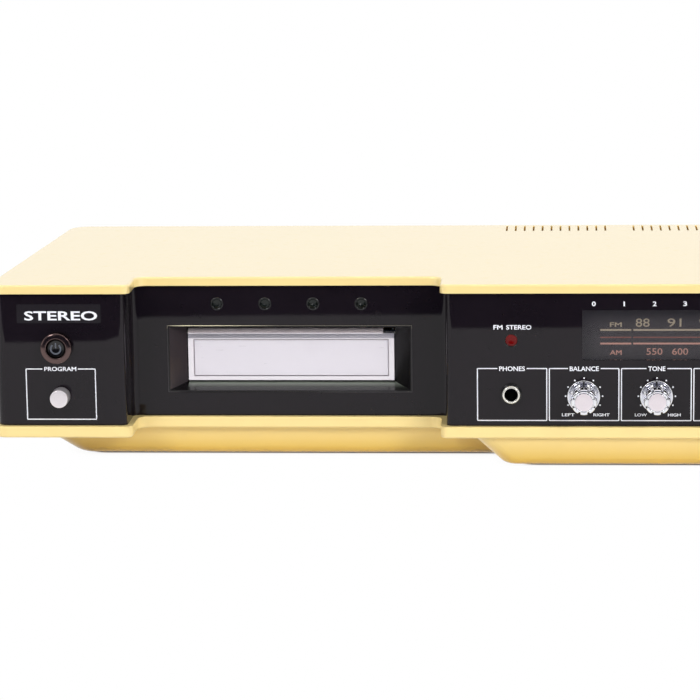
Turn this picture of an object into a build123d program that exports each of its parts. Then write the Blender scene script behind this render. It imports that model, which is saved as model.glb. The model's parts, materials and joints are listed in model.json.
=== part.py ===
"""Table-top stereo tuner with an eight-track cartridge player.

Millimetres. +X is to the user's right, +Y goes into the set and +Z is up. The origin is the middle
of the footprint, on the table. A "depth" is measured back from the face of the front panel.
"""

import os
from math import cos, hypot, pi, radians, sin

from build123d import *

os.makedirs("parts", exist_ok=True)

# ------------------------------------------------------------------ driving dimensions
front_width = 582.0  # over the rim, at the front
back_width = 556.6  # the sides draw in towards the back
body_depth = 200.0  # front panel's face to the back of the rim
knob_reach = 18.0  # front panel's face to the front of the tuning knob
foot_proud = 1.0
hull_height = 15.2
hull_left, hull_right = -277.4, 272.4  # under the lip; the right stays clear of the screw in front
lip_height = 6.0
panel_height = 68.6
rim_height = 4.6
rim_proud = 3.0  # rim and lip stand this far outside the walls between them
wall = 2.5
running = 0.05  # radial clearance of a shaft in its bore
fitted = 0.1  # clearance round a piece let into a panel

# The cartridge bay steps back from the rest of the front.
recess_left = -217.7
recess_right = -60.4
recess_depth = 25.0

# Levels and places that follow from them
hull_bottom = foot_proud
lip_bottom = hull_bottom + hull_height
panel_bottom = lip_bottom + lip_height
panel_top = panel_bottom + panel_height
body_top = panel_top + rim_height
panel_y = (knob_reach - body_depth) / 2
shelf_top = lip_bottom + wall
inner_top = body_top - wall
wall_back = rim_proud + wall  # inset of a wall's inner face from the rim's outline
taper = (front_width - back_width) / 2 / (body_depth + rim_proud)

# Controls on the front
power_x, power_z = -255.6, 62.9
program_x, program_z = -254.3, 37.4
cell_pitch = 36.6
knob_z = 37.7
jack_x = -24.6
jack_z = 38.8
balance_x = jack_x + cell_pitch
tone_x = balance_x + cell_pitch
selector_x = tone_x + cell_pitch
volume_x = selector_x + cell_pitch
tuning_x = 231.0
tuning_z = 56.7
stereo_z = 66.4
small_shaft_radius = 3.0
bushing_radius = 3.5

# Dial
window_left = 11.2
window_right = 175.5
window_low = 56.2
window_high = 81.8
pointer_travel = 112.0
drum_radius = pointer_travel / pi  # half a turn of the tuning capacitor moves the pointer all the way
drum_x, drum_z = 170.0, 45.0
cord_thickness = 0.8
cord_gap = 0.3
idler_radius = 4.0
idler_z = 86.0
idler_left = 20.0
drum_front, drum_back = 16.4, 20.4
chassis_front, chassis_back = 21.4, 22.9

# Cartridge bay
slot_x = -139.0
cartridge_width = 101.6
cartridge_height = 20.3
bezel_width, bezel_low, bezel_high = 126.4, 34.6, 69.6
tunnel_width, tunnel_low, tunnel_high = 108.2, 38.2, 67.4
door_width, door_low, door_front = 107.1, 39.2, 33.3
hinge_depth, hinge_z, pin_radius = 36.2, 64.0, 1.0
frame_back = 41.0
deck_top, deck_thickness = 36.2, 1.5
bay_back = 128.0
stop_depth = 135.0
capstan_x, capstan_depth, capstan_radius = -105.0, 137.0, 1.5
flywheel_radius, flywheel_low, flywheel_high = 30.0, 21.5, 31.5
motor_x, motor_depth, motor_radius = -190.0, 158.0, 18.0
pulley_radius = 6.0
head_x, head_depth = -150.0, 147.0
post_radius = 1.5
head_step = 0.8
head_rise = 3 * head_step

# Vents in the lid
vent_width, vent_pitch, vent_count = 1.0, 5.01, 12
vent_front, vent_back = 177.0, 196.0
vent_starts = (-29.7, 41.3)


# ------------------------------------------------------------------ helpers
def finish(piece, label):
    """Names a finished piece and writes it as a file of its own."""
    piece.part.label = label
    export_step(piece.part, f"parts/{label}.step")


def front_plane(depth, x=0.0, z=0.0):
    """Work plane parallel to the front: X to the right, Y up, normal towards the user."""
    return Plane(origin=(x, panel_y + depth, z), x_dir=(1, 0, 0), z_dir=(0, -1, 0))


def depth_axis(x, z):
    """Axis square to the front panel."""
    return Axis((x, 0, z), (0, 1, 0))


def beside(x, *points):
    """Points given as (radius, depth) beside an axis at x, for a revolve."""
    return [(x + radius, panel_y + depth) for radius, depth in points]


def section(*points):
    """Points given as (depth, height), for a profile seen from the side."""
    return [(panel_y + depth, height) for depth, height in points]


def body_plan(inset):
    """Plan of the whole set, drawn in from the rim by inset, with the bay stepped back."""
    front, back = inset - rim_proud, body_depth - inset
    slant = hypot(1, taper)

    def half_width(depth):
        return front_width / 2 - taper * (depth + rim_proud) - inset * slant

    outline = [
        (-half_width(front), front),
        (recess_left - inset, front),
        (recess_left - inset, front + recess_depth),
        (recess_right + inset, front + recess_depth),
        (recess_right + inset, front),
        (half_width(front), front),
        (half_width(back), back),
        (-half_width(back), back),
    ]
    front_corner, back_corner = max(8.0 - inset, 1.0), max(12.0 - inset, 2.0)
    step_corner, step_hollow = max(4.0 - inset / 3, 2.0), max(6.0 - inset, 2.0)
    radii = [front_corner, step_corner, step_hollow, step_hollow, step_corner]
    radii += [front_corner, back_corner, back_corner]
    with BuildSketch() as plan:
        with BuildLine():
            FilletPolyline([(x, panel_y + depth) for x, depth in outline], radius=radii, close=True)
        make_face()
    return plan.sketch


def hull_plan(level, inset):
    """Plan of the hull at a level; it narrows downwards, and a bulge comes forward on the right."""
    drop = (lip_bottom - level) / hull_height
    left, right = hull_left + 24.0 * drop + inset, hull_right - 24.0 * drop - inset
    front, bulge_front = 27.0 + 3.0 * drop + inset, 4.0 * drop + inset
    bulge_left, back = 16.0 * drop - 44.6 + inset, 185.0 - 13.0 * drop - inset
    outline = [(left, front), (bulge_left, front), (bulge_left, bulge_front), (right, bulge_front)]
    outline += [(right, back), (left, back)]
    outer, corner, hollow = 16.0 - inset, 10.0 - inset, 8.0 + inset
    with BuildSketch() as plan:
        with BuildLine():
            FilletPolyline(
                [(x, panel_y + depth) for x, depth in outline],
                radius=[outer, hollow, corner, outer, outer, outer],
                close=True,
            )
        make_face()
    return plan.sketch


rim_plan = body_plan(0.0)
wall_plan = body_plan(rim_proud)
inner_plan = body_plan(wall_back)
ledge_plan = body_plan(8.0)
hull_floor = hull_bottom + wall
hull_plans = {
    (lip_bottom, 0.0): hull_plan(lip_bottom, 0.0),
    (hull_bottom, 0.0): hull_plan(hull_bottom, 0.0),
    (shelf_top, wall): hull_plan(shelf_top, wall),
    (hull_floor, wall): hull_plan(hull_floor, wall),
}

# ------------------------------------------------------------------ top cover
panel_wrap = 30.0  # the black panel runs this far back round the front corners
rear_window = (-62.0, 204.0, 28.0, 82.0)
post_places = [(x, panel_y + depth) for x, depth in ((-276, 22), (276, 22), (-262, 187.9), (262, 187.9))]
post_radius_outer, screw_radius = 4.0, 1.6

with BuildPart() as top_cover:
    with BuildSketch(Plane.XY.offset(panel_top)):
        add(rim_plan)
    extrude(amount=rim_height)
    fillet(top_cover.edges().group_by(Axis.Z)[-1], radius=1.3)
    with BuildSketch(Plane.XY.offset(panel_top)):
        add(inner_plan)
    extrude(amount=inner_top - panel_top, mode=Mode.SUBTRACT)
    with BuildSketch(Plane.XY.offset(panel_bottom)):
        add(wall_plan)
        add(inner_plan, mode=Mode.SUBTRACT)
        with Locations((0, panel_y + panel_wrap)):
            Rectangle(front_width, body_depth, align=(Align.CENTER, Align.MAX), mode=Mode.SUBTRACT)
    extrude(amount=panel_height)
    with BuildSketch(Plane.XY.offset(shelf_top)):
        with Locations(*post_places):
            Circle(post_radius_outer)
    extrude(amount=inner_top - shelf_top)
    with BuildSketch(Plane.XY.offset(shelf_top)):
        with Locations(*post_places):
            Circle(screw_radius + running)
    extrude(amount=16.0, mode=Mode.SUBTRACT)
    # Two rows of vent slots, close to the back edge of the lid
    with BuildSketch(Plane.XY.offset(body_top)):
        for start in vent_starts:
            middle = start + vent_pitch * (vent_count - 1) / 2
            with Locations((middle, panel_y + vent_front)):
                with GridLocations(vent_pitch, 0, vent_count, 1):
                    Rectangle(vent_width, vent_back - vent_front, align=(Align.CENTER, Align.MIN))
    extrude(amount=-wall - 0.5, mode=Mode.SUBTRACT)
    low_x, high_x, low_z, high_z = rear_window
    with BuildSketch(front_plane(body_depth + 1)):
        with Locations(((low_x + high_x) / 2, (low_z + high_z) / 2)):
            RectangleRounded(high_x - low_x, high_z - low_z, 3)
    extrude(amount=10.0, mode=Mode.SUBTRACT)
finish(top_cover, "top_cover")

# ------------------------------------------------------------------ bottom case
deck_posts = [(-208, 52), (-70, 52), (-208, 164), (-70, 164)]
board_posts = [(-24, 52), (218, 52), (-24, 152), (218, 152)]
transformer_posts = [(-228, 135)]
chassis_posts = [(x, (chassis_front + chassis_back) / 2) for x in (214, 232)]
board_low = 22.0
transformer_low = shelf_top
chassis_low = 24.0

with BuildPart() as bottom_case:
    with BuildSketch(Plane.XY.offset(lip_bottom)):
        add(rim_plan)
    extrude(amount=lip_height)
    fillet(bottom_case.edges().group_by(Axis.Z)[0], radius=1.3)
    for level in (hull_bottom, lip_bottom):
        with BuildSketch(Plane.XY.offset(level)):
            add(hull_plans[(level, 0.0)])
    loft()
    fillet(bottom_case.faces().sort_by(Axis.Z)[0].edges(), radius=5.0)
    with BuildSketch(Plane.XY.offset(shelf_top)):
        add(ledge_plan)
    extrude(amount=panel_bottom - shelf_top, mode=Mode.SUBTRACT)
    for level in (hull_floor, shelf_top):
        with BuildSketch(Plane.XY.offset(level)):
            add(hull_plans[(level, wall)])
    loft(mode=Mode.SUBTRACT)
    posts = [(deck_posts, deck_top - deck_thickness), (board_posts, board_low)]
    posts += [(transformer_posts, transformer_low), (chassis_posts, chassis_low)]
    for places, top in posts:
        with BuildSketch(Plane.XY.offset(hull_floor)):
            with Locations(*[(x, panel_y + depth) for x, depth in places]):
                Circle(3.0)
        extrude(amount=top - hull_floor)
    # The flywheel's pivot stands on a boss of its own.
    with BuildSketch(Plane.XY.offset(hull_floor)):
        with Locations((capstan_x, panel_y + capstan_depth)):
            Circle(5.0)
    extrude(amount=16.0)
    with BuildSketch(Plane.XY.offset(lip_bottom)):
        with Locations(*post_places):
            Circle(screw_radius + running)
    extrude(amount=wall, mode=Mode.SUBTRACT)
finish(bottom_case, "bottom_case")

with BuildPart() as rubber_feet:
    foot_places = [(x, panel_y + depth) for x in (-205, 205) for depth in (56, 150)]
    with BuildSketch():
        with Locations(*foot_places):
            Circle(7.5)
    extrude(amount=foot_proud)
    chamfer(rubber_feet.edges().group_by(Axis.Z)[0], length=0.4)
finish(rubber_feet, "rubber_feet")

with BuildPart() as case_screws:
    with BuildSketch(Plane.XY.offset(lip_bottom)):
        with Locations(*post_places):
            Circle(screw_radius)
    extrude(amount=15.0)
    with BuildSketch(Plane.XY.offset(lip_bottom - 1.6)):
        with Locations(*post_places):
            Circle(2.7)
    extrude(amount=1.6)
    chamfer(case_screws.edges().group_by(Axis.Z)[0], length=0.6)
finish(case_screws, "case_screws")

# ------------------------------------------------------------------ front panel
lamp_pitch = 24.83
lamp_z = 80.9
lamp_radius = 3.0
stereo_radius = 2.9
power_hole = 7.0
program_radius = 4.65
through = 8.0  # length of a cut that goes right through the panel

with BuildPart() as front_panel:
    with BuildSketch(Plane.XY.offset(panel_bottom)):
        add(wall_plan)
        add(inner_plan, mode=Mode.SUBTRACT)
        with Locations((0, panel_y + panel_wrap)):
            Rectangle(front_width, body_depth, align=(Align.CENTER, Align.MIN), mode=Mode.SUBTRACT)
    extrude(amount=panel_height)
    with BuildSketch(front_plane(wall + 2)):
        with Locations((power_x, power_z)):
            Circle(power_hole + fitted)
        with Locations((program_x, program_z)):
            Circle(program_radius + 0.2)
        with Locations((jack_x, jack_z)):
            Circle(5.0)
        with Locations((jack_x, stereo_z)):
            Circle(stereo_radius + fitted)
        with Locations(*[(x, knob_z) for x in (balance_x, tone_x, selector_x, volume_x)]):
            Circle(bushing_radius + fitted)
        with Locations((tuning_x, tuning_z)):
            Circle(small_shaft_radius + 0.4)
        with Locations(((window_left + window_right) / 2, (window_low + window_high) / 2)):
            Rectangle(window_right - window_left, window_high - window_low)
    extrude(amount=through, mode=Mode.SUBTRACT)
    with BuildSketch(front_plane(recess_depth + wall + 2)):
        with Locations((slot_x, (bezel_low + bezel_high) / 2)):
            Rectangle(bezel_width + 2 * fitted, bezel_high - bezel_low + 2 * fitted)
        with Locations((slot_x, lamp_z)):
            with GridLocations(lamp_pitch, 0, 4, 1):
                Circle(lamp_radius + fitted)
    extrude(amount=through, mode=Mode.SUBTRACT)
finish(front_panel, "front_panel")

# ------------------------------------------------------------------ cartridge slot and door
funnel_back = 33.0
frame_proud = 0.4
frame_centre_z = (bezel_low + bezel_high) / 2
tunnel_centre_z = (tunnel_low + tunnel_high) / 2
tunnel_height = tunnel_high - tunnel_low
ear_depth = 2.6  # how far the hinge pin runs into each side of the frame

with BuildPart() as slot_frame:
    with BuildSketch(front_plane(frame_back, slot_x, frame_centre_z)):
        Rectangle(bezel_width, bezel_high - bezel_low)
    extrude(amount=frame_back - recess_depth + frame_proud)
    with BuildSketch(front_plane(recess_depth + wall + 2.4, slot_x, frame_centre_z)):
        Rectangle(bezel_width + 6, bezel_high - bezel_low + 5)
    extrude(amount=2.4)
    with BuildSketch(front_plane(funnel_back, slot_x, tunnel_centre_z)):
        Rectangle(tunnel_width, tunnel_height)
    with BuildSketch(front_plane(recess_depth - frame_proud, slot_x, frame_centre_z)):
        Rectangle(bezel_width - 1.8, bezel_high - bezel_low - 1.8)
    loft(mode=Mode.SUBTRACT)
    with BuildSketch(front_plane(frame_back, slot_x, tunnel_centre_z)):
        Rectangle(tunnel_width, tunnel_height)
    extrude(amount=frame_back - funnel_back, mode=Mode.SUBTRACT)
    with BuildSketch(Plane.YZ.offset(slot_x - tunnel_width / 2 - ear_depth)):
        with Locations((panel_y + hinge_depth, hinge_z)):
            Circle(pin_radius + running)
    extrude(amount=tunnel_width + 2 * ear_depth, mode=Mode.SUBTRACT)
finish(slot_frame, "slot_frame")

door_thickness = 2.4
knuckle_radius = 2.4
knuckle_width = door_width - 5.7  # the spring fills the rest, at the right-hand end
door_left = slot_x - door_width / 2
inlay_low, inlay_high, inlay_width, inlay_depth = 41.3, 60.7, 101.3, 0.8

with BuildPart() as cartridge_door:
    with BuildSketch(Plane.YZ.offset(door_left)):
        Polygon(
            *section(
                (door_front, door_low),
                (door_front + door_thickness, door_low),
                (door_front + door_thickness, hinge_z),
                (door_front + 0.7, hinge_z + 0.2),
                (door_front, hinge_z - 2.8),
            ),
            align=None,
        )
    extrude(amount=door_width)
    with BuildSketch(Plane.YZ.offset(door_left + knuckle_width)):
        with Locations((panel_y + hinge_depth, hinge_z)):
            Circle(2.3)
    extrude(amount=door_width - knuckle_width, mode=Mode.SUBTRACT)
    with BuildSketch(Plane.YZ.offset(door_left)):
        with Locations((panel_y + hinge_depth, hinge_z)):
            Circle(knuckle_radius)
        Polygon(
            *section(
                (door_front + 0.7, hinge_z + 0.2),
                (hinge_depth - 0.8, hinge_z + 2.2),
                (hinge_depth, hinge_z),
                (hinge_depth - 1.5, hinge_z - 2.0),
            ),
            align=None,
        )
    extrude(amount=knuckle_width)
    with BuildSketch(Plane.YZ.offset(door_left)):
        with Locations((panel_y + hinge_depth, hinge_z)):
            Circle(pin_radius)
    extrude(amount=knuckle_width, mode=Mode.SUBTRACT)
    with BuildSketch(front_plane(door_front + inlay_depth, slot_x, (inlay_low + inlay_high) / 2)):
        Rectangle(inlay_width, inlay_high - inlay_low)
    extrude(amount=inlay_depth, mode=Mode.SUBTRACT)
finish(cartridge_door, "cartridge_door")

with BuildPart() as door_plate:
    with BuildSketch(front_plane(door_front + inlay_depth, slot_x, (inlay_low + inlay_high) / 2)):
        Rectangle(inlay_width - 0.6, inlay_high - inlay_low - 0.6)
    extrude(amount=inlay_depth - 0.1)
    chamfer(door_plate.faces().sort_by(Axis.Y)[0].edges(), length=0.2)
finish(door_plate, "door_plate")

with BuildPart() as hinge_pin:
    with BuildSketch(Plane.YZ.offset(slot_x - tunnel_width / 2 - ear_depth + 0.3)):
        with Locations((panel_y + hinge_depth, hinge_z)):
            Circle(pin_radius)
    extrude(amount=tunnel_width + 2 * (ear_depth - 0.3))
finish(hinge_pin, "hinge_pin")

spring_turns, spring_pitch, spring_radius, spring_wire = 4, 1.1, 1.75, 0.25
spring_start = (door_left + knuckle_width + 0.5, panel_y + hinge_depth, hinge_z)
with BuildPart() as door_spring:
    with BuildLine():
        coil = Helix(
            spring_pitch,
            spring_pitch * spring_turns,
            spring_radius,
            center=spring_start,
            direction=(1, 0, 0),
        )
    with BuildSketch(Plane(origin=coil @ 0, z_dir=coil % 0)):
        Circle(spring_wire)
    sweep()
finish(door_spring, "door_spring")

# ------------------------------------------------------------------ cartridge bay and deck
bay_wall = 2.0
rail_front = 64.0
rail_gap = cartridge_width + 1.8
rail_height = 20.0
latch_low, latch_high = 43.0, 50.0
latch_window = (90.0, 114.0)

with BuildPart() as cartridge_bay:
    bay_length = bay_back - frame_back - 1
    bay_height = tunnel_high - tunnel_low
    with BuildSketch(front_plane(bay_back, slot_x, tunnel_low - bay_wall)):
        Rectangle(
            tunnel_width + 2 * bay_wall, bay_height + 2 * bay_wall, align=(Align.CENTER, Align.MIN)
        )
    extrude(amount=bay_length)
    with BuildSketch(front_plane(bay_back, slot_x, tunnel_low)):
        Rectangle(tunnel_width, bay_height, align=(Align.CENTER, Align.MIN))
    extrude(amount=bay_length, mode=Mode.SUBTRACT)
    rail_width = (tunnel_width - rail_gap) / 2
    with BuildSketch(front_plane(bay_back, slot_x, tunnel_low)):
        for side in (-1, 1):
            with Locations((side * (rail_gap + rail_width) / 2, 0)):
                Rectangle(rail_width, rail_height, align=(Align.CENTER, Align.MIN))
        # Two ribs under the roof keep the cartridge down once it is past the open door.
        for side in (-1, 1):
            with Locations((side * 30.0, cartridge_height + 2.8)):
                Rectangle(
                    2.0, bay_height - cartridge_height - 2.8, align=(Align.CENTER, Align.MIN)
                )
    extrude(amount=bay_back - rail_front)
    with BuildSketch(Plane.YZ.offset(slot_x + rail_gap / 2 - 1)):
        with Locations((panel_y + sum(latch_window) / 2, (latch_low + latch_high) / 2)):
            Rectangle(latch_window[1] - latch_window[0], latch_high - latch_low + 2)
    extrude(amount=rail_width + bay_wall + 2, mode=Mode.SUBTRACT)
finish(cartridge_bay, "cartridge_bay")

latch_x, latch_depth = -75.0, 80.0
roller_radius = 6.0
roller_x = slot_x + rail_gap / 2 - 0.3 + roller_radius
roller_depth = 104.0
solenoid_x, solenoid_depth = -122.0, 162.0
plunger_z = 44.0

with BuildPart() as transport_deck:
    with BuildSketch(Plane.XY.offset(deck_top - deck_thickness)):
        with Locations((slot_x, panel_y + 42)):
            Rectangle(146, 130, align=(Align.CENTER, Align.MIN))
        with Locations((motor_x, panel_y + motor_depth)):
            Circle(5.0, mode=Mode.SUBTRACT)
        with Locations((capstan_x, panel_y + capstan_depth)):
            Circle(4.0 + fitted, mode=Mode.SUBTRACT)
    extrude(amount=deck_thickness)
    # The head's guide post and the latch's pivot are riveted into the deck.
    with BuildSketch(Plane.XY.offset(deck_top)):
        with Locations((head_x, panel_y + head_depth)):
            Circle(post_radius)
    extrude(amount=28.0)
    with BuildSketch(Plane.XY.offset(deck_top)):
        with Locations((latch_x, panel_y + latch_depth)):
            Circle(post_radius)
    extrude(amount=latch_high + 1.0 - deck_top)
    with BuildSketch(Plane.XY.offset(deck_top)):
        with Locations((latch_x, panel_y + latch_depth)):
            Circle(4.0)
    extrude(amount=latch_low + 0.7 - deck_top)
finish(transport_deck, "transport_deck")

with BuildPart() as latch_arm:
    with BuildSketch(Plane.XY.offset(latch_low + 1)):
        pivot = (latch_x, panel_y + latch_depth)
        tip = (roller_x, panel_y + roller_depth)
        with Locations(pivot):
            Circle(4.0)
        with Locations(tip):
            Circle(4.0)
        make_hull()
    extrude(amount=1.5)
    with BuildSketch(Plane.XY.offset(latch_low + 1)):
        with Locations(tip):
            Circle(roller_radius)
    extrude(amount=latch_high - latch_low - 2)
    with BuildSketch(Plane.XY.offset(latch_low)):
        with Locations(pivot):
            Circle(post_radius + running)
    extrude(amount=latch_high - latch_low, mode=Mode.SUBTRACT)
finish(latch_arm, "latch_arm")

# ------------------------------------------------------------------ tape drive
with BuildPart() as flywheel:
    here = (capstan_x, panel_y + capstan_depth)
    with BuildSketch(Plane.XY.offset(flywheel_low)):
        with Locations(here):
            Circle(flywheel_radius)
            with PolarLocations(20.0, 6):
                Circle(4.0, mode=Mode.SUBTRACT)
    extrude(amount=flywheel_high - flywheel_low)
    with BuildSketch(Plane.XY.offset(flywheel_low + 3)):
        with Locations(here):
            Circle(26.0)
            Circle(9.0, mode=Mode.SUBTRACT)
    extrude(amount=flywheel_high, mode=Mode.SUBTRACT)
    with BuildSketch(Plane.XY.offset(hull_floor + 16.3)):
        with Locations(here):
            Circle(capstan_radius)
    extrude(amount=62.0 - hull_floor - 16.3)
finish(flywheel, "flywheel")

with BuildPart() as capstan_bearing:
    with BuildSketch(Plane.XY.offset(flywheel_high + 0.6)):
        with Locations(here):
            Circle(4.0)
    extrude(amount=9.0)
    with BuildSketch(Plane.XY.offset(deck_top)):
        with Locations(here):
            Circle(7.0)
    extrude(amount=1.5)
    with BuildSketch(Plane.XY.offset(flywheel_high)):
        with Locations(here):
            Circle(capstan_radius + running)
    extrude(amount=14.0, mode=Mode.SUBTRACT)
finish(capstan_bearing, "capstan_bearing")

with BuildPart() as drive_motor:
    here = (motor_x, panel_y + motor_depth)
    with BuildSketch(Plane.XY.offset(deck_top)):
        with Locations(here):
            Circle(motor_radius)
    extrude(amount=26.0)
    fillet(drive_motor.edges().group_by(Axis.Z)[-1], radius=2.0)
    with BuildSketch(Plane.XY.offset(deck_top + 26.0)):
        with Locations(here):
            Circle(5.0)
    extrude(amount=3.0)
    with BuildSketch(Plane.XY.offset(deck_top)):
        with Locations(here):
            Circle(1.0 + running)
    extrude(amount=12.0, mode=Mode.SUBTRACT)
finish(drive_motor, "drive_motor")

with BuildPart() as motor_pulley:
    for low, high, radius in ((23.0, 24.0, 7.2), (24.0, 29.5, pulley_radius), (29.5, 30.5, 7.2)):
        with BuildSketch(Plane.XY.offset(low)):
            with Locations(here):
                Circle(radius)
        extrude(amount=high - low)
    with BuildSketch(Plane.XY.offset(30.5)):
        with Locations(here):
            Circle(1.0)
    extrude(amount=deck_top + 10.0 - 30.5)
finish(motor_pulley, "motor_pulley")

belt_gap, belt_thickness, belt_width = 0.3, 1.0, 4.0
with BuildPart() as drive_belt:
    with BuildSketch(Plane.XY.offset(24.7)):
        with Locations((motor_x, panel_y + motor_depth)):
            Circle(pulley_radius + belt_gap + belt_thickness)
        with Locations((capstan_x, panel_y + capstan_depth)):
            Circle(flywheel_radius + belt_gap + belt_thickness)
        make_hull()
    extrude(amount=belt_width)
    with BuildSketch(Plane.XY.offset(24.7)):
        with Locations((motor_x, panel_y + motor_depth)):
            Circle(pulley_radius + belt_gap)
        with Locations((capstan_x, panel_y + capstan_depth)):
            Circle(flywheel_radius + belt_gap)
        make_hull()
    extrude(amount=belt_width, mode=Mode.SUBTRACT)
finish(drive_belt, "drive_belt")

# ------------------------------------------------------------------ head and its stepping cam
cam_steps = 12
cam_sweep = 270.0
ramp_low = 39.4
foot_orbit = 5.4
here = (head_x, panel_y + head_depth)

with BuildPart() as program_cam:
    with BuildSketch(Plane.XY.offset(deck_top + 0.6)):
        with Locations(here):
            Circle(8.6)
            # Ratchet teeth, which the solenoid's pawl pulls round
            with PolarLocations(8.4, cam_steps):
                Rectangle(3.0, 2.2, rotation=30)
    extrude(amount=1.6)
    # The ramp climbs in small steps as the cam turns, and the last quarter stays low.
    for step in range(cam_steps + 1):
        low_angle = -step * cam_sweep / cam_steps
        with BuildSketch(Plane.XY.offset(deck_top + 2.2)):
            with Locations(here):
                with BuildLine():
                    sector = cam_sweep / cam_steps
                    start, end = radians(low_angle - sector / 2), radians(low_angle + sector / 2)
                    centre = Vector(*here)
                    first = centre + Vector(cos(start), sin(start)) * 7.0
                    last = centre + Vector(cos(end), sin(end)) * 7.0
                    Polyline(last, centre, first)
                    RadiusArc(first, last, -7.0)
                make_face()
        extrude(amount=ramp_low - deck_top - 2.2 + head_rise * step / cam_steps)
    with BuildSketch(Plane.XY.offset(deck_top)):
        with Locations(here):
            Circle(post_radius + running)
    extrude(amount=10.0, mode=Mode.SUBTRACT)
finish(program_cam, "program_cam")

carriage_low, carriage_high = 45.0, 56.0
with BuildPart() as head_carriage:
    with BuildSketch(Plane.XY.offset(carriage_low)):
        with Locations((head_x, panel_y + head_depth - 0.5)):
            RectangleRounded(16.0, 14.0, 1.5)
    extrude(amount=carriage_high - carriage_low)
    with BuildSketch(Plane.XY.offset(ramp_low + 0.3)):
        with Locations((head_x + foot_orbit, panel_y + head_depth)):
            Circle(1.0)
    extrude(amount=carriage_low - ramp_low - 0.3)
    with BuildSketch(Plane.XY.offset(carriage_low)):
        with Locations(here):
            Circle(post_radius + running)
    extrude(amount=carriage_high - carriage_low, mode=Mode.SUBTRACT)
finish(head_carriage, "head_carriage")

with BuildPart() as playback_head:
    head_front, head_back = stop_depth + 0.3, head_depth - 7.5
    with BuildSketch(Plane.XY.offset(carriage_low)):
        with BuildLine():
            Polyline(
                (head_x - 6, panel_y + head_front + 1.2),
                (head_x - 6, panel_y + head_back),
                (head_x + 6, panel_y + head_back),
                (head_x + 6, panel_y + head_front + 1.2),
            )
            ThreePointArc(
                (head_x + 6, panel_y + head_front + 1.2),
                (head_x, panel_y + head_front),
                (head_x - 6, panel_y + head_front + 1.2),
            )
        make_face()
    extrude(amount=10.0)
finish(playback_head, "playback_head")

with BuildPart() as program_solenoid:
    with BuildSketch(Plane.XY.offset(deck_top)):
        with Locations((solenoid_x, panel_y + solenoid_depth)):
            Rectangle(20.0, 16.0)
    extrude(amount=15.6)
    with BuildSketch(Plane.YZ.offset(solenoid_x - 10.0)):
        with Locations((panel_y + solenoid_depth, plunger_z)):
            Circle(1.5 + running)
    extrude(amount=14.0, mode=Mode.SUBTRACT)
finish(program_solenoid, "program_solenoid")

with BuildPart() as solenoid_plunger:
    with BuildSketch(Plane.YZ.offset(solenoid_x - 22.0)):
        with Locations((panel_y + solenoid_depth, plunger_z)):
            Circle(1.5)
    extrude(amount=22.0)
    with BuildSketch(Plane.XY.offset(deck_top + 0.8)):
        with Locations((solenoid_x - 22.0, panel_y + solenoid_depth)):
            Rectangle(4.0, 5.0)
    extrude(amount=plunger_z + 2.0 - deck_top - 0.8)
finish(solenoid_plunger, "solenoid_plunger")

# ------------------------------------------------------------------ lamps, jack and push buttons
with BuildPart() as program_lamps:
    with BuildSketch(front_plane(recess_depth + 6.0, slot_x, lamp_z)):
        with GridLocations(lamp_pitch, 0, 4, 1):
            Circle(lamp_radius)
    extrude(amount=6.4)
    chamfer(program_lamps.edges().group_by(Axis.Y)[0], length=0.5)
finish(program_lamps, "program_lamps")

with BuildPart() as stereo_lamp:
    with BuildSketch(front_plane(7.0, jack_x, stereo_z)):
        Circle(stereo_radius)
    extrude(amount=8.4)
    fillet(stereo_lamp.edges().group_by(Axis.Y)[0], radius=1.2)
finish(stereo_lamp, "stereo_lamp")

jack_bore, jack_length = 3.3, 18.0
with BuildPart() as phones_jack:
    with BuildSketch(Plane.XY.offset(jack_z)):
        Polygon(
            *beside(
                jack_x,
                (jack_bore, -3.6),
                (4.3, -3.6),
                (4.6, -3.3),
                (4.6, -1.5),
                (5.65, -1.5),
                (5.65, 0.0),
                (4.9, 0.0),
                (4.9, wall + 1),
                (jack_bore, wall + 1),
            ),
            align=None,
        )
    revolve(axis=depth_axis(jack_x, jack_z))
    with BuildSketch(front_plane(26.0, jack_x, jack_z)):
        Rectangle(15.0, 13.0)
    extrude(amount=26.0 - wall - 0.5)
    with BuildSketch(front_plane(jack_length - 3.6, jack_x, jack_z)):
        Circle(jack_bore)
    extrude(amount=jack_length, mode=Mode.SUBTRACT)
finish(phones_jack, "phones_jack")

power_reach, power_button_radius, power_travel = 5.0, 4.7, 2.5
with BuildPart() as power_bezel:
    with BuildSketch(Plane.XY.offset(power_z)):
        Polygon(
            *beside(
                power_x,
                (power_button_radius + 0.2, -power_reach + 0.8),
                (5.6, -power_reach),
                (6.3, -power_reach),
                (7.4, -1.6),
                (7.9, -1.2),
                (7.9, 0.0),
                (power_hole, 0.0),
                (power_hole, wall + 2.0),
                (power_button_radius + 0.2, wall + 2.0),
            ),
            align=None,
        )
    revolve(axis=depth_axis(power_x, power_z))
finish(power_bezel, "power_bezel")

stem_radius = 2.5
switch_front = 19.0
with BuildPart() as power_button:
    with BuildSketch(Plane.XY.offset(power_z)):
        Polygon(
            *beside(
                power_x,
                (0, 0.6 - power_reach),
                (power_button_radius - 0.8, 0.2 - power_reach),
                (power_button_radius, 0.9 - power_reach),
                (power_button_radius, 5.0),
                (stem_radius, 5.0),
                (stem_radius, switch_front + 3.0),
                (0, switch_front + 3.0),
            ),
            align=None,
        )
    revolve(axis=depth_axis(power_x, power_z))
finish(power_button, "power_button")

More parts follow.
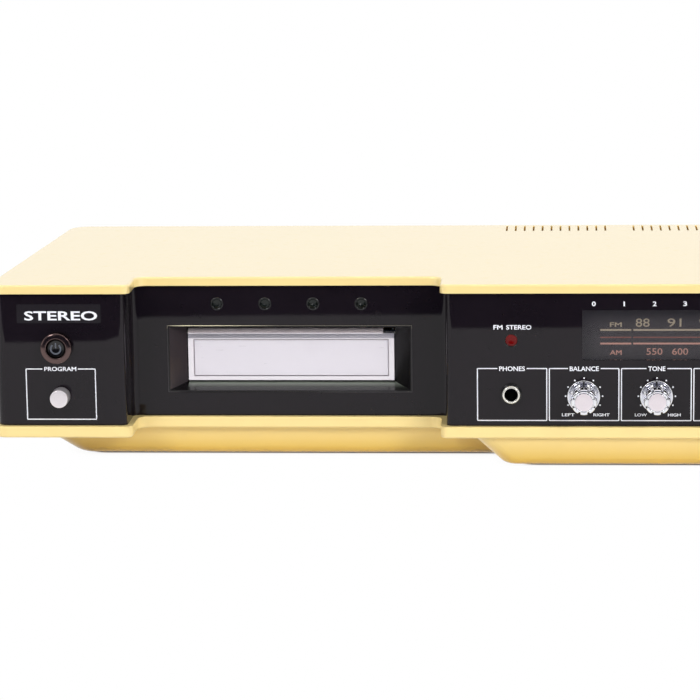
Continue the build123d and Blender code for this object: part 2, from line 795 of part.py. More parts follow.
program_reach, program_travel = 8.0, 3.0
with BuildPart() as program_button:
    with BuildSketch(Plane.XY.offset(program_z)):
        Polygon(
            *beside(
                program_x,
                (0, -program_reach),
                (program_radius - 0.5, -program_reach),
                (program_radius, 0.5 - program_reach),
                (program_radius, wall + 0.5),
                (program_radius + 1.2, wall + 0.5),
                (program_radius + 1.2, wall + 2.0),
                (stem_radius, wall + 2.0),
                (stem_radius, switch_front + 3.0),
                (0, switch_front + 3.0),
            ),
            align=None,
        )
    revolve(axis=depth_axis(program_x, program_z))
finish(program_button, "program_button")

with BuildPart() as push_switches:
    for x, height in ((power_x, power_z), (program_x, program_z)):
        with BuildSketch(front_plane(switch_front + 18.0, x, height)):
            Rectangle(16.0, 14.0)
        extrude(amount=18.0)
        with BuildSketch(front_plane(switch_front + 8.0, x, height)):
            Circle(stem_radius + running)
        extrude(amount=8.0, mode=Mode.SUBTRACT)
finish(push_switches, "push_switches")


# ------------------------------------------------------------------ rotary controls
def fluted_knob(x, z, skirt, body, disc, lobes, reach, shaft):
    """Dished skirt, lobed body and a spun disc let into its front, bored for its shaft."""
    back, bore_end = -0.6, reach - 6.0
    with BuildPart() as knob:
        with BuildSketch(Plane.XY.offset(z)):
            Polygon(
                *beside(
                    x,
                    (0, back),
                    (skirt - 0.6, back),
                    (skirt, back - 0.5),
                    (skirt, back - 1.0),
                    (skirt - 0.5, back - 1.3),
                    (body + 0.4, back - 2.6),
                    (body, back - 3.2),
                    (body, 1.0 - reach),
                    (body - 0.6, 0.4 - reach),
                    (disc, 0.4 - reach),
                    (disc - 0.3, -reach),
                    (0, -reach),
                ),
                align=None,
            )
        revolve(axis=depth_axis(x, z))
        # Narrow grooves between the lobes
        with BuildSketch(front_plane(back - 3.0, x, z)):
            with PolarLocations(body, lobes, start_angle=180 / lobes):
                Rectangle(2.2, 1.3)
        extrude(amount=reach, mode=Mode.SUBTRACT)
        # Pointer on the skirt, at twelve o'clock
        with BuildSketch(front_plane(back - 0.6, x, z)):
            with Locations((0, skirt - 0.3)):
                RegularPolygon(1.0, 3, rotation=90)
        extrude(amount=1.0)
        with BuildSketch(front_plane(back, x, z)):
            Circle(shaft)
        extrude(amount=bore_end, mode=Mode.SUBTRACT)
    return knob


def control_shaft(x, z, front, back, radius):
    """Plain spindle from the knob into its control."""
    with BuildPart() as spindle:
        with BuildSketch(front_plane(back, x, z)):
            Circle(radius)
        extrude(amount=back - front)
    return spindle


small_reach = 16.5
small_controls = {"balance": balance_x, "tone": tone_x, "selector": selector_x, "volume": volume_x}
for name, x in small_controls.items():
    small_knob = fluted_knob(x, knob_z, 8.35, 6.3, 4.9, 8, small_reach, small_shaft_radius)
    finish(small_knob, f"{name}_knob")
    small_shaft = control_shaft(x, knob_z, 5.4 - small_reach, 11.5, small_shaft_radius)
    finish(small_shaft, f"{name}_shaft")

with BuildPart() as control_pots:
    for name, x in small_controls.items():
        case_radius = 10.5 if name == "selector" else 8.2
        with BuildSketch(front_plane(14.5, x, knob_z)):
            Circle(case_radius)
        extrude(amount=11.0)
        with BuildSketch(front_plane(3.5, x, knob_z)):
            Circle(bushing_radius)
        extrude(amount=3.5)
        with BuildSketch(front_plane(12.0, x, knob_z)):
            Circle(small_shaft_radius + running)
        extrude(amount=12.0, mode=Mode.SUBTRACT)
finish(control_pots, "control_pots")

tuning_knob = fluted_knob(
    tuning_x, tuning_z, 22.5, 19.5, 16.5, 20, knob_reach, small_shaft_radius
)
finish(tuning_knob, "tuning_knob")

with BuildPart() as tuning_shaft:
    with BuildSketch(front_plane(24.0, tuning_x, tuning_z)):
        Circle(small_shaft_radius)
    extrude(amount=24.0 + knob_reach - 6.6)
    # The dial cord takes its turns round this waist.
    with BuildSketch(front_plane(drum_back - 0.6, tuning_x, tuning_z)):
        Circle(idler_radius)
    extrude(amount=drum_back - drum_front - 1.2)
finish(tuning_shaft, "tuning_shaft")

# ------------------------------------------------------------------ dial
with BuildPart() as dial_window:
    with BuildSketch(
        front_plane(wall, (window_left + window_right) / 2, (window_low + window_high) / 2)
    ):
        Rectangle(window_right - window_left - 2 * fitted, window_high - window_low - 2 * fitted)
    extrude(amount=wall - 0.2)
    with BuildSketch(
        front_plane(wall + 1.0, (window_left + window_right) / 2, (window_low + window_high) / 2)
    ):
        Rectangle(window_right - window_left + 6, window_high - window_low + 4)
    extrude(amount=1.0)
finish(dial_window, "dial_window")

with BuildPart() as dial_plate:
    with BuildSketch(front_plane(9.2, (window_left + window_right) / 2, 68.0)):
        Rectangle(window_right - window_left + 4, 31.0)
    extrude(amount=1.2)
finish(dial_plate, "dial_plate")

pointer_x = 96.0
rail_radius = 1.5
rail_depth, rail_z = 13.2, 80.0
arm_low, arm_high = 84.6, 88.2  # the arm passes over the top of the dial plate
with BuildPart() as dial_pointer:
    with BuildSketch(front_plane(6.4, pointer_x, 0)):
        with Locations((0, 56.8)):
            Rectangle(0.9, 31.4, align=(Align.CENTER, Align.MIN))
    extrude(amount=0.8)
    with BuildSketch(front_plane(rail_depth + 1.0, pointer_x, arm_low)):
        Rectangle(3.0, arm_high - arm_low, align=(Align.CENTER, Align.MIN))
    extrude(amount=rail_depth - 4.6)
    with BuildSketch(front_plane(rail_depth + 1.0, pointer_x, rail_z)):
        Rectangle(3.0, arm_high - rail_z, align=(Align.CENTER, Align.MIN))
    extrude(amount=2.0)
    with BuildSketch(front_plane(rail_depth + 2.6, pointer_x, rail_z)):
        Rectangle(14.0, 5.6)
    extrude(amount=5.2)
    with BuildSketch(Plane.YZ.offset(pointer_x - 8)):
        with Locations((panel_y + rail_depth, rail_z)):
            Circle(rail_radius + running)
    extrude(amount=16.0, mode=Mode.SUBTRACT)
finish(dial_pointer, "dial_pointer")

with BuildPart() as dial_chassis:
    chassis_right = 248.0
    with BuildSketch(front_plane(chassis_back)):
        with BuildLine():
            Polyline(
                (8, 50),
                (138, 50),
                (138, chassis_low),
                (238, chassis_low),
                (238, 48),
                (chassis_right, 48),
                (chassis_right, 92),
                (8, 92),
                (8, 50),
            )
        make_face()
        with Locations((drum_x, drum_z)):
            Circle(5.0, mode=Mode.SUBTRACT)
        with Locations((tuning_x, tuning_z)):
            Circle(small_shaft_radius + running, mode=Mode.SUBTRACT)
    extrude(amount=chassis_back - chassis_front)
    # Two lugs carry the pointer's rail.
    with BuildSketch(front_plane(chassis_front)):
        with Locations((12, rail_z), (200, rail_z)):
            Rectangle(3.0, 6.0)
    extrude(amount=chassis_front - rail_depth + rail_radius)
finish(dial_chassis, "dial_chassis")

with BuildPart() as pointer_rail:
    with BuildSketch(Plane.YZ.offset(13.5)):
        with Locations((panel_y + rail_depth, rail_z)):
            Circle(rail_radius)
    extrude(amount=185.0)
finish(pointer_rail, "pointer_rail")

cord_idlers = [(idler_left, idler_z), (tuning_x, idler_z)]
cord_low_depth = (drum_front + drum_back + cord_thickness) / 2
with BuildPart() as cord_pulleys:
    for x, z in cord_idlers:
        for near, far, radius in (
            (drum_front + 0.4, drum_front + 1.0, 5.0),
            (drum_front + 1.0, drum_back - 1.0, idler_radius),
            (drum_back - 1.0, drum_back - 0.4, 5.0),
            (drum_back - 0.4, chassis_front, 1.5),
        ):
            with BuildSketch(front_plane(far, x, z)):
                Circle(radius)
            extrude(amount=far - near)
finish(cord_pulleys, "cord_pulleys")

with BuildPart() as dial_cord:
    for grow, mode in ((cord_gap + cord_thickness, Mode.ADD), (cord_gap, Mode.SUBTRACT)):
        with BuildSketch(front_plane(cord_low_depth)):
            with Locations(*cord_idlers, (tuning_x, tuning_z)):
                Circle(idler_radius + grow)
            with Locations((drum_x, drum_z)):
                Circle(drum_radius + grow)
            make_hull()
        extrude(amount=cord_thickness, mode=mode)
finish(dial_cord, "dial_cord")

with BuildPart() as dial_drum:
    for near, far, radius in (
        (drum_front, drum_front + 1.0, drum_radius + 1.4),
        (drum_front + 1.0, drum_back - 1.0, drum_radius),
        (drum_back - 1.0, drum_back, drum_radius + 1.4),
    ):
        with BuildSketch(front_plane(far, drum_x, drum_z)):
            Circle(radius)
            with PolarLocations(drum_radius * 0.6, 5):
                Circle(8.0, mode=Mode.SUBTRACT)
        extrude(amount=far - near)
    with BuildSketch(front_plane(drum_back, drum_x, drum_z)):
        Circle(small_shaft_radius)
    extrude(amount=drum_back - drum_front, mode=Mode.SUBTRACT)
finish(dial_drum, "dial_drum")

gang_front, gang_back = chassis_back, 52.0
plate_depths = [28.0 + 4.0 * index for index in range(5)]
rotor_radius = 14.0
with BuildPart() as tuning_rotor:
    with BuildSketch(front_plane(gang_back - 1.0, drum_x, drum_z)):
        Circle(small_shaft_radius)
    extrude(amount=gang_back - 1.0 - drum_front)
    for depth in plate_depths:
        with BuildSketch(front_plane(depth + 1.0, drum_x, drum_z)):
            Circle(rotor_radius)
            Rectangle(2 * rotor_radius, rotor_radius, align=(Align.CENTER, Align.MAX), mode=Mode.SUBTRACT)
            Circle(small_shaft_radius)
        extrude(amount=1.0)
finish(tuning_rotor, "tuning_rotor")

with BuildPart() as tuning_gang:
    with BuildSketch(front_plane(gang_back, drum_x, drum_z)):
        Rectangle(36.0, 34.0)
    extrude(amount=gang_back - gang_front)
    with BuildSketch(front_plane(gang_back - 2.0, drum_x, drum_z + 2)):
        Rectangle(32.0, 34.0)
    extrude(amount=gang_back - gang_front - 4.0, mode=Mode.SUBTRACT)
    for depth in plate_depths[:-1]:
        with BuildSketch(front_plane(depth + 3.0, drum_x, drum_z)):
            Rectangle(33.0, 14.0, align=(Align.CENTER, Align.MAX))
            Circle(4.5, mode=Mode.SUBTRACT)
        extrude(amount=1.0)
    with BuildSketch(front_plane(gang_back, drum_x, drum_z)):
        Circle(small_shaft_radius + running)
    extrude(amount=gang_back - gang_front, mode=Mode.SUBTRACT)
finish(tuning_gang, "tuning_gang")

# ------------------------------------------------------------------ electronics
board_thickness = 1.6
board_front, board_back = 56.0, 160.0
board_left, board_right = -30.0, 224.0
board_top = board_low + board_thickness
can_places = [(x, depth) for x in (20, 44, 68, 92, 116) for depth in (70, 92)]
capacitor_places = [(-12, 70, 5), (-12, 90, 6), (150, 80, 6), (176, 80, 8), (200, 100, 8), (150, 110, 5)]

with BuildPart() as main_board:
    with BuildSketch(Plane.XY.offset(board_low)):
        with Locations((board_left, panel_y + board_front - 8)):
            Rectangle(board_right - board_left, board_back - board_front + 8, align=Align.MIN)
    extrude(amount=board_thickness)
    with BuildSketch(Plane.XY.offset(board_top)):
        with Locations(*[(x, panel_y + depth) for x, depth in can_places]):
            Rectangle(10.0, 10.0)
    extrude(amount=13.0)
    for x, depth, radius in capacitor_places:
        with BuildSketch(Plane.XY.offset(board_top)):
            with Locations((x, panel_y + depth)):
                Circle(radius)
        extrude(amount=3.2 * radius)
finish(main_board, "main_board")

sink_left, sink_right, sink_top = -30.0, 98.0, 84.0
sink_back = 190.0
with BuildPart() as heat_sink:
    with BuildSketch(Plane.XY.offset(shelf_top)):
        with Locations((sink_left, panel_y + sink_back)):
            Rectangle(sink_right - sink_left, 3.0, align=(Align.MIN, Align.MAX))
    extrude(amount=sink_top - shelf_top)
    with BuildSketch(Plane.XY.offset(30.0)):
        with Locations(((sink_left + sink_right) / 2, panel_y + sink_back - 3.0)):
            with GridLocations(9.0, 0, 14, 1):
                Rectangle(1.6, 14.0, align=(Align.CENTER, Align.MAX))
    extrude(amount=sink_top - 30.0)
finish(heat_sink, "heat_sink")

transformer_x, transformer_depth = -244.0, 135.0
with BuildPart() as power_transformer:
    middle = (transformer_x, panel_y + transformer_depth)
    with BuildSketch(Plane.XY.offset(transformer_low)):
        with Locations(middle):
            Rectangle(54.0, 16.0)
    extrude(amount=2.0)
    with BuildSketch(Plane.XY.offset(transformer_low + 2.0)):
        with Locations(middle):
            Rectangle(50.0, 20.0)
    extrude(amount=42.0)
    with BuildSketch(Plane.XY.offset(transformer_low + 9.0)):
        with Locations(middle):
            RectangleRounded(34.0, 44.0, 4.0)
    extrude(amount=28.0)
finish(power_transformer, "power_transformer")

with BuildPart() as ferrite_rod:
    with BuildSketch(Plane.YZ.offset(-205.0)):
        with Locations((panel_y + 183.0, 78.0)):
            Circle(5.0)
    extrude(amount=130.0)
    with BuildSketch(Plane.YZ.offset(-165.0)):
        with Locations((panel_y + 183.0, 78.0)):
            Circle(6.5)
    extrude(amount=34.0)
    # Two clips hold the rod off the rear wall.
    with BuildSketch(front_plane(body_depth - wall_back)):
        with Locations((-196, 78), (-84, 78)):
            Rectangle(5.0, 14.0)
    extrude(amount=12.0)
finish(ferrite_rod, "ferrite_rod")

# ------------------------------------------------------------------ rear panel and its sockets
rear_inner = body_depth - wall_back
speaker_places = [(20, 44), (44, 44)]
speaker_outer, speaker_bore, speaker_length = 4.1, 1.6, 8.0
terminal_centre = (130.0, 56.0)
gland_place = (186.0, 42.0)

with BuildPart() as rear_panel:
    with BuildSketch(front_plane(rear_inner)):
        with Locations(((low_x + high_x) / 2, (low_z + high_z) / 2)):
            Rectangle(high_x - low_x + 8, high_z - low_z + 4)
        with Locations(*speaker_places):
            Circle(speaker_outer + fitted, mode=Mode.SUBTRACT)
        with Locations(gland_place):
            Circle(6.0 + fitted, mode=Mode.SUBTRACT)
    extrude(amount=1.5)
finish(rear_panel, "rear_panel")

with BuildPart() as speaker_jacks:
    with BuildSketch(front_plane(body_depth - 0.5)):
        with Locations(*speaker_places):
            Circle(speaker_outer)
    extrude(amount=speaker_length + 1.5)
    with BuildSketch(front_plane(rear_inner + 1.0)):
        with Locations(*speaker_places):
            Circle(5.6)
            Circle(speaker_outer, mode=Mode.SUBTRACT)
    extrude(amount=1.0)
    with BuildSketch(front_plane(body_depth - 0.5)):
        with Locations(*speaker_places):
            Circle(speaker_bore)
    extrude(amount=speaker_length, mode=Mode.SUBTRACT)
finish(speaker_jacks, "speaker_jacks")

with BuildPart() as antenna_terminals:
    with BuildSketch(front_plane(rear_inner + 3.0)):
        with Locations(terminal_centre):
            RectangleRounded(52.0, 13.0, 2.0)
    extrude(amount=3.0)
    with BuildSketch(front_plane(rear_inner + 4.8)):
        with Locations(terminal_centre):
            with GridLocations(13.0, 0, 4, 1):
                Circle(3.4)
    extrude(amount=1.8)
    with BuildSketch(front_plane(rear_inner + 4.8)):
        with Locations(terminal_centre):
            with GridLocations(13.0, 0, 4, 1):
                Rectangle(5.0, 0.9)
    extrude(amount=0.8, mode=Mode.SUBTRACT)
finish(antenna_terminals, "antenna_terminals")

with BuildPart() as cord_gland:
    with BuildSketch(front_plane(body_depth - 0.5)):
        with Locations(gland_place):
            Circle(6.0)
    extrude(amount=body_depth - 0.5 - rear_inner + 5.0)
    with BuildSketch(front_plane(rear_inner + 2.0)):
        with Locations(gland_place):
            Circle(8.0)
            Circle(6.0, mode=Mode.SUBTRACT)
    extrude(amount=2.0)
    with BuildSketch(front_plane(body_depth)):
        with Locations(gland_place):
            Circle(3.4)
    extrude(amount=20.0, mode=Mode.SUBTRACT)
finish(cord_gland, "cord_gland")
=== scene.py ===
# %% [markdown]
# # A table-top eight-track player and tuner
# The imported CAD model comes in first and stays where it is. Everything below either
# dresses one of its parts with a finish or stands a finer surface in its place. Lengths
# along the front are written in millimetres, as a maker would, and turned into metres at
# the last moment, when a shape is stood on the player.
# %% Load the frame
import json
from math import cos, pi, radians, sin

import bmesh
import bpy
import numpy as np
from mathutils import Matrix, Vector


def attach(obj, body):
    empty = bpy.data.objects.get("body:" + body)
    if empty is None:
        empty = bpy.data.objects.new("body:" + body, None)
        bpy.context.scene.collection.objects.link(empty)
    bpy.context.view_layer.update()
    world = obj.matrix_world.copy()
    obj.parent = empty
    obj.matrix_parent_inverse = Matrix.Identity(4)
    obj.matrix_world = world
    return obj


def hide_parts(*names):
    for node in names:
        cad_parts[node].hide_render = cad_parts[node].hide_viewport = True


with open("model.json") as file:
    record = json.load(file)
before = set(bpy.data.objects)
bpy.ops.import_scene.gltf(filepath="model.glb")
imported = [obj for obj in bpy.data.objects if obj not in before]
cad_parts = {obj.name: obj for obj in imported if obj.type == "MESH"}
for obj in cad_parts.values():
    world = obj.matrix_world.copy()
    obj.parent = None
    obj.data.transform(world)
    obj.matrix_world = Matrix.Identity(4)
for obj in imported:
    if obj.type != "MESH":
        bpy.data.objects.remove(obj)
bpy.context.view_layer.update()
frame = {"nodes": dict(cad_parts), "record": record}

MM = 0.001
PANEL_Y = -0.091  # face of the front panel
nodes = frame["nodes"]
print("parts in the frame:", len(nodes))

# %% [markdown]
# ## The camera
# The player is looked at from a metre and a half away and a little above. It could be
# framed with a short lens from close by, but a long one keeps the lid's edges almost
# parallel, as in a catalogue. The camera turns a few degrees to the left of square and
# leans by less than one. Each turn is its own matrix, so the order they act in is plain.
# %% Camera
camera_data = bpy.data.cameras.new("camera")
camera_data.sensor_width = 36.0
camera_data.lens = 154.9
camera_data.clip_start, camera_data.clip_end = 0.05, 60.0
camera = bpy.data.objects.new("camera", camera_data)
bpy.context.scene.collection.objects.link(camera)
pan, tilt, lean = radians(4.058), radians(90 - 10.824), radians(-0.773)
camera.matrix_world = (
    Matrix.Translation((0.0, -1.585, 0.3478))
    @ Matrix.Rotation(pan, 4, "Z")
    @ Matrix.Rotation(tilt, 4, "X")
    @ Matrix.Rotation(lean, 4, "Z")
)
bpy.context.scene.camera = camera
bpy.context.scene.view_settings.view_transform = "Standard"
print("lens", camera_data.lens, "mm")

# %% [markdown]
# ## Writing a finish
# A material is a small sum over the surface. Nodes could be joined by hand, but then the
# sum can't be read. So `Wire` wraps one socket: adding or multiplying two wires adds a
# Math node, and a comparison makes a mask of 0 and 1.
# %% Wires
class Wire:
    """One output socket. Sums of wires and numbers become Math nodes."""

    def __init__(self, finish, socket):
        self.finish, self.socket = finish, socket

    def sum(self, operation, first, second):
        return self.finish.sum_of(operation, first, second)

    def __add__(self, other):
        return self.sum("ADD", self, other)

    def __sub__(self, other):
        return self.sum("SUBTRACT", self, other)

    def __rsub__(self, other):
        return self.sum("SUBTRACT", other, self)

    def __mul__(self, other):
        return self.sum("MULTIPLY", self, other)

    def __gt__(self, other):
        return self.sum("GREATER_THAN", self, other)

    def __lt__(self, other):
        return self.sum("LESS_THAN", self, other)

    __radd__, __rmul__ = __add__, __mul__


print("wires carry sums")

# %% [markdown]
# ## A finish under construction
# `Finish.node` makes every other kind of node: its type, its settings, and the values or
# wires of its sockets. What is used again and again has a short method of its own, such as
# noise, dust, rings, and the shaders that close a material. A Principled shader is used for
# whatever reflects and an Emission shader for what only gives off light.
# %% Finishes
class Finish:
    """A material under construction: node() adds to it, and skin() or glow() closes it."""

    def __init__(self, name):
        self.material = bpy.data.materials.new(name)
        self.material.use_nodes = True
        self.tree = self.material.node_tree
        self.tree.nodes.clear()

    def node(self, kind, settings=None, sockets=None, give=0):
        """Adds a ShaderNode of a kind, settings first, then what its sockets hold or link to."""
        made = self.tree.nodes.new("ShaderNode" + kind)
        for name, value in (settings or {}).items():
            if name == "stops":
                ramp = made.color_ramp.elements
                while len(ramp) < len(value):
                    ramp.new(0.5)
                for element, (place, colour) in zip(ramp, value):
                    element.position, element.color = place, colour
            else:
                setattr(made, name, value)
        for key, value in (sockets or {}).items():
            if isinstance(value, Wire):
                self.tree.links.new(value.socket, made.inputs[key])
            else:
                made.inputs[key].default_value = value
        return Wire(self, made.outputs[give])

    def place(self, centre=(0, 0, 0), turn=(0, 0, 0), stretch=(1, 1, 1)):
        """The point on the piece in metres, moved, turned and stretched by a Mapping node."""
        where = self.node("TexCoord", give="Object")
        moved = self.node(
            "Mapping", {"vector_type": "POINT"}, {"Vector": where, "Location": [-c for c in centre]}
        )
        sockets = {"Vector": moved, "Rotation": turn, "Scale": stretch}
        return self.node("Mapping", {"vector_type": "POINT"}, sockets)

    def sum_of(self, operation, first, second):
        """A Math node by name, for the ones that have no sign of their own."""
        return self.node("Math", {"operation": operation}, {0: first, 1: second})

    def cloud(self, size, where=None, detail=2.0):
        """Soft noise from 0 to 1, in lumps of about that size in metres."""
        sockets = {"Vector": where or self.place(), "Scale": 1.0 / size, "Detail": detail}
        return self.node("TexNoise", {}, sockets)

    def dust(self):
        """Spots a few millimetres wide: 0 over half of the surface, rising to 1 in their middles."""
        return self.ramp(self.cloud(0.004, detail=4.0), (0.55, 0.0), (0.8, 1.0))

    def parts(self, vector, axes="XYZ"):
        """The named parts of a vector, one wire each."""
        return [self.node("SeparateXYZ", {}, {0: vector}, give=axis) for axis in axes]

    def length(self, vector):
        """How long a vector is."""
        return self.node("VectorMath", {"operation": "LENGTH"}, {0: vector}, give="Value")

    def rings(self, reach, size):
        """Noise that changes only with the distance from an axis, in rings about size metres wide."""
        sockets = {"W": reach, "Scale": 1.0 / size, "Detail": 2.0}
        return self.node("TexNoise", {"noise_dimensions": "1D"}, sockets)

    def mix(self, share, first, second):
        """Goes from the first colour to the second as share goes from 0 to 1."""
        settings = {"data_type": "RGBA", "clamp_factor": True}
        return self.node("Mix", settings, {0: share, 6: first, 7: second}, give=2)

    def ramp(self, share, *stops):
        """A number read off a straight-line graph through (place, value) stops."""
        grey = [(place, (value, value, value, 1)) for place, value in stops]
        return self.node("ValToRGB", {"stops": grey}, {0: share})

    def bump(self, height, depth, strength=1.0):
        """Tilts the surface by a height wire whose 0 to 1 stands for depth metres."""
        sockets = {"Height": height, "Distance": depth, "Strength": strength}
        return self.node("Bump", {}, sockets)

    def skin(self, **sockets):
        """The Principled shader and the output. Underscores in names stand for spaces."""
        named = {name.replace("_", " "): value for name, value in sockets.items()}
        return self.close(self.node("BsdfPrincipled", {}, named))

    def glow(self, colour, strength):
        """A surface that gives off light and reflects none."""
        return self.close(self.node("Emission", {}, {"Color": colour, "Strength": strength}))

    def close(self, shader):
        """Sends a shader to the output, which makes the material whole."""
        out = self.tree.nodes.new("ShaderNodeOutputMaterial")
        self.tree.links.new(shader.socket, out.inputs["Surface"])
        return self.material


print("finishes can be written")

# %% [markdown]
# ## Colours
# A colour is chosen as a screen shows it, from 0 to 255, but a shader adds up light. `paint`
# turns one into the other, so that every colour below reads like a paint chart.
# %% Paint and shade
def paint(red, green, blue):
    """A colour from 0-255 display values, as the linear light that a shader wants."""
    share = np.array([red, green, blue]) / 255
    light = np.where(share <= 0.04045, share / 12.92, ((share + 0.055) / 1.055) ** 2.4)
    return (*[float(v) for v in light], 1.0)


def shade(colour, times):
    """The same colour, so many times as bright."""
    return (*[min(1.0, c * times) for c in colour[:3]], 1.0)


print("mid grey as light:", round(paint(128, 128, 128)[0], 3))

# %% [markdown]
# ## Three families of finish
# Nearly everything on the player is moulded plastic, rolled or brushed metal, or metal
# turned on a lathe. Plastic has a fine grain and a slightly cloudy colour. Brushed metal
# has streaks along one direction: noise that is squeezed across them. Turned metal has
# rings, which come from noise of the distance from its axis. One function for each family
# keeps the many parts alike, and its numbers tell them apart.
# %% Moulded, brushed and turned
def moulded(name, colour, rough, grain=0.0004, depth=0.00001, cloud=0.05, fleck=0.1, **more):
    """Plastic: cloudy colour, mould grain in the bump, and dust that dulls the gloss in spots."""
    f = Finish(name)
    tone = f.cloud(0.035, detail=3.0)
    dust = f.dust()
    base = f.mix(tone, shade(colour, 1 - cloud), shade(colour, 1 + cloud))
    speck = f.mix(dust * 0.25, base, shade(colour, 1 - 2 * cloud))
    more.setdefault("Specular_IOR_Level", 0.5)
    return f.skin(
        Base_Color=speck,
        Roughness=rough + dust * fleck,
        Normal=f.bump(f.cloud(grain, detail=1.0), depth),
        **more,
    )


def brushed(
    name, colour, rough, along=(1, 40, 40), size=0.012, depth=0.000004, metal=1.0, streaks=0.12, **more
):
    """Metal with streaks: noise stretched along one axis drives tone, gloss and bump."""
    f = Finish(name)
    streak = f.cloud(size, f.place(stretch=along), detail=4.0)
    stain = f.ramp(f.cloud(0.02, detail=3.0), (0.5, 0.0), (0.75, 1.0))
    base = f.mix(streak, shade(colour, 1 - streaks), shade(colour, 1 + streaks))
    wear_and_highlight = f.mix(stain * 0.3, base, shade(colour, 1 - 2 * streaks))
    return f.skin(
        Base_Color=wear_and_highlight,
        Metallic=metal,
        Roughness=rough + streak * 0.12 + stain * 0.08,
        Normal=f.bump(streak, depth),
        **more,
    )


def turned(name, colour, rough, centre, across="xz", size=0.0004, depth=0.000003, metal=1.0, **more):
    """Metal cut on a lathe: noise of the distance from the axis makes rings."""
    f = Finish(name)
    flat = {"xz": (1, 0, 1), "xy": (1, 1, 0)}[across]
    ring = f.rings(f.length(f.place(centre, stretch=flat)), size)
    haze = f.cloud(0.006, detail=3.0)
    base = f.mix(ring, shade(colour, 0.88), shade(colour, 1.1))
    return f.skin(
        Base_Color=f.mix(haze * 0.3, base, shade(colour, 0.8)),
        Metallic=metal,
        Roughness=rough + ring * 0.1 + haze * 0.06,
        Normal=f.bump(ring, depth),
        **more,
    )


print("families of finish: moulded, brushed, turned")

# %% [markdown]
# ## The door
# The flap is one pressing of satin metal. The band along its top leans back and carries a painted highlight
# that grows towards the right, over a darker grey at its left end, and the barrel of the hinge above it is
# dull brown-grey plastic, whose colour is painted paler, as painted light that lifts it out of the shade it
# lies in. It could be cut into three pieces, but it swings as one part, so one finish tells the three by
# their height.
# %% Door finish
DOOR_LEFT, DOORS_PER_METRE = -0.1926, 9.3
BAND_FOOT, BARREL_FOOT = 0.0612, 0.0641  # heights where the band and the barrel begin


def door_silver():
    """Satin below the band: masks height > foot pick out the band, with its painted highlight, and the
    barrel over it, painted pale as painted light.
    """
    f = Finish("door_silver")
    across, height = f.parts(f.place(), "XZ")
    streak = f.cloud(0.012, f.place(stretch=(1, 40, 40)), detail=4.0)
    satin = f.mix(streak, paint(248, 241, 247), paint(255, 250, 255))
    share = (across - DOOR_LEFT) * DOORS_PER_METRE
    # painted highlight on the band: darker grey at its left end, rising to the satin towards its right
    painted_band_highlight = f.ramp(share, (0.0, 0.85), (0.04, 0.75), (0.5, 0.85), (0.92, 1.0))
    band = f.mix(painted_band_highlight, paint(120, 118, 124), satin)
    barrel = height > BARREL_FOOT
    metal = f.mix(height > BAND_FOOT, satin, band)
    return f.skin(
        # the barrel's pale colour is painted light that lifts it out of its shade
        Base_Color=f.mix(barrel, metal, paint(232, 218, 220)),
        Metallic=0.55 - barrel * 0.55,
        Roughness=0.2 + streak * 0.04 + barrel * 0.3,
        Normal=f.bump(streak, 0.000004),
    )


print("the door's band is", round((BARREL_FOOT - BAND_FOOT) / MM, 1), "mm high")

# %% [markdown]
# ## The yellow shell
# The two shells are moulded from the same yellow. The lid was polished, so it mirrors the room behind it,
# and the gloss fades down the sides. Under the lip, where the tray turns inwards and downwards, painted
# shade darkens the yellow towards the bottom. One finish that follows the height gives both shells their
# gloss and their painted shade without a seam.
# %% Shell finish
def shell_yellow():
    """Yellow whose coat follows height / 100 mm, with painted shade that darkens it from 17 mm down to 2
    mm.
    """
    f = Finish("shell_yellow")
    (height,) = f.parts(f.place(), "Z")
    tone = f.cloud(0.035, detail=3.0)
    dust = f.dust()
    light = f.mix(tone, paint(250, 223, 150), paint(254, 227, 154))
    # painted shade: the yellow darkens towards the bottom, from 17 mm down to 2 mm
    depth = f.ramp(height * 10, (0.02, 1.0), (0.09, 0.45), (0.17, 0.0))
    return f.skin(
        Base_Color=f.mix(depth, light, paint(224, 182, 64)),
        Roughness=0.3 + dust * 0.1,
        Coat_Weight=f.ramp(height * 10, (0.2, 0.15), (0.85, 0.6), (0.93, 1.0)),
        Coat_Roughness=0.1,
        Coat_IOR=1.6,
        Normal=f.bump(f.cloud(0.0007, detail=1.0), 0.00001),
    )


print("the shells' finish is written")

# %% [markdown]
# ## The mouth of the slot
# The funnel round the door is black. Painted light makes its left wall greyer, and a painted reflection of
# the door pales its floor towards the door. The three faces of one moulding are told apart by where they
# lie from its front left corner, as the CAD part comes without separate faces.
# %% Funnel finish
FUNNEL_CORNER = (-0.1925, PANEL_Y + 0.0247, 0.0355)  # foot of the left wall, at the front


def funnel_black():
    """Black plastic with painted light on the left wall and a painted reflection of the door on the floor,
    which lies under height = 0.32 inward + 0.4 mm from the front corner.
    """
    f = Finish("funnel_black")
    across, inward, height = f.parts(f.place(FUNNEL_CORNER))
    cloud = f.cloud(0.01, detail=3.0)
    black = f.mix(cloud, paint(14, 12, 14), paint(21, 19, 21))
    floor = height < inward * 0.32 + 0.0004
    # painted light: the left wall is greyer than the black of the other faces
    painted_light_left_wall = f.mix((across < 0) * (inward > 0) * (1 - floor), black, paint(55, 48, 51))
    # painted reflection of the door: the floor pales to greenish grey towards it
    painted_door_reflection = f.ramp(inward * 140, (0.0, 0.0), (0.45, 0.15), (1.0, 1.0))
    return f.skin(
        Base_Color=f.mix(floor * (across > 0) * painted_door_reflection, painted_light_left_wall, paint(112, 118, 108)),
        Roughness=0.12 + cloud * 0.08,
        Specular_IOR_Level=0.35,
        Normal=f.bump(f.cloud(0.0005, detail=1.0), 0.000003),
    )


print("the funnel's finish is written")

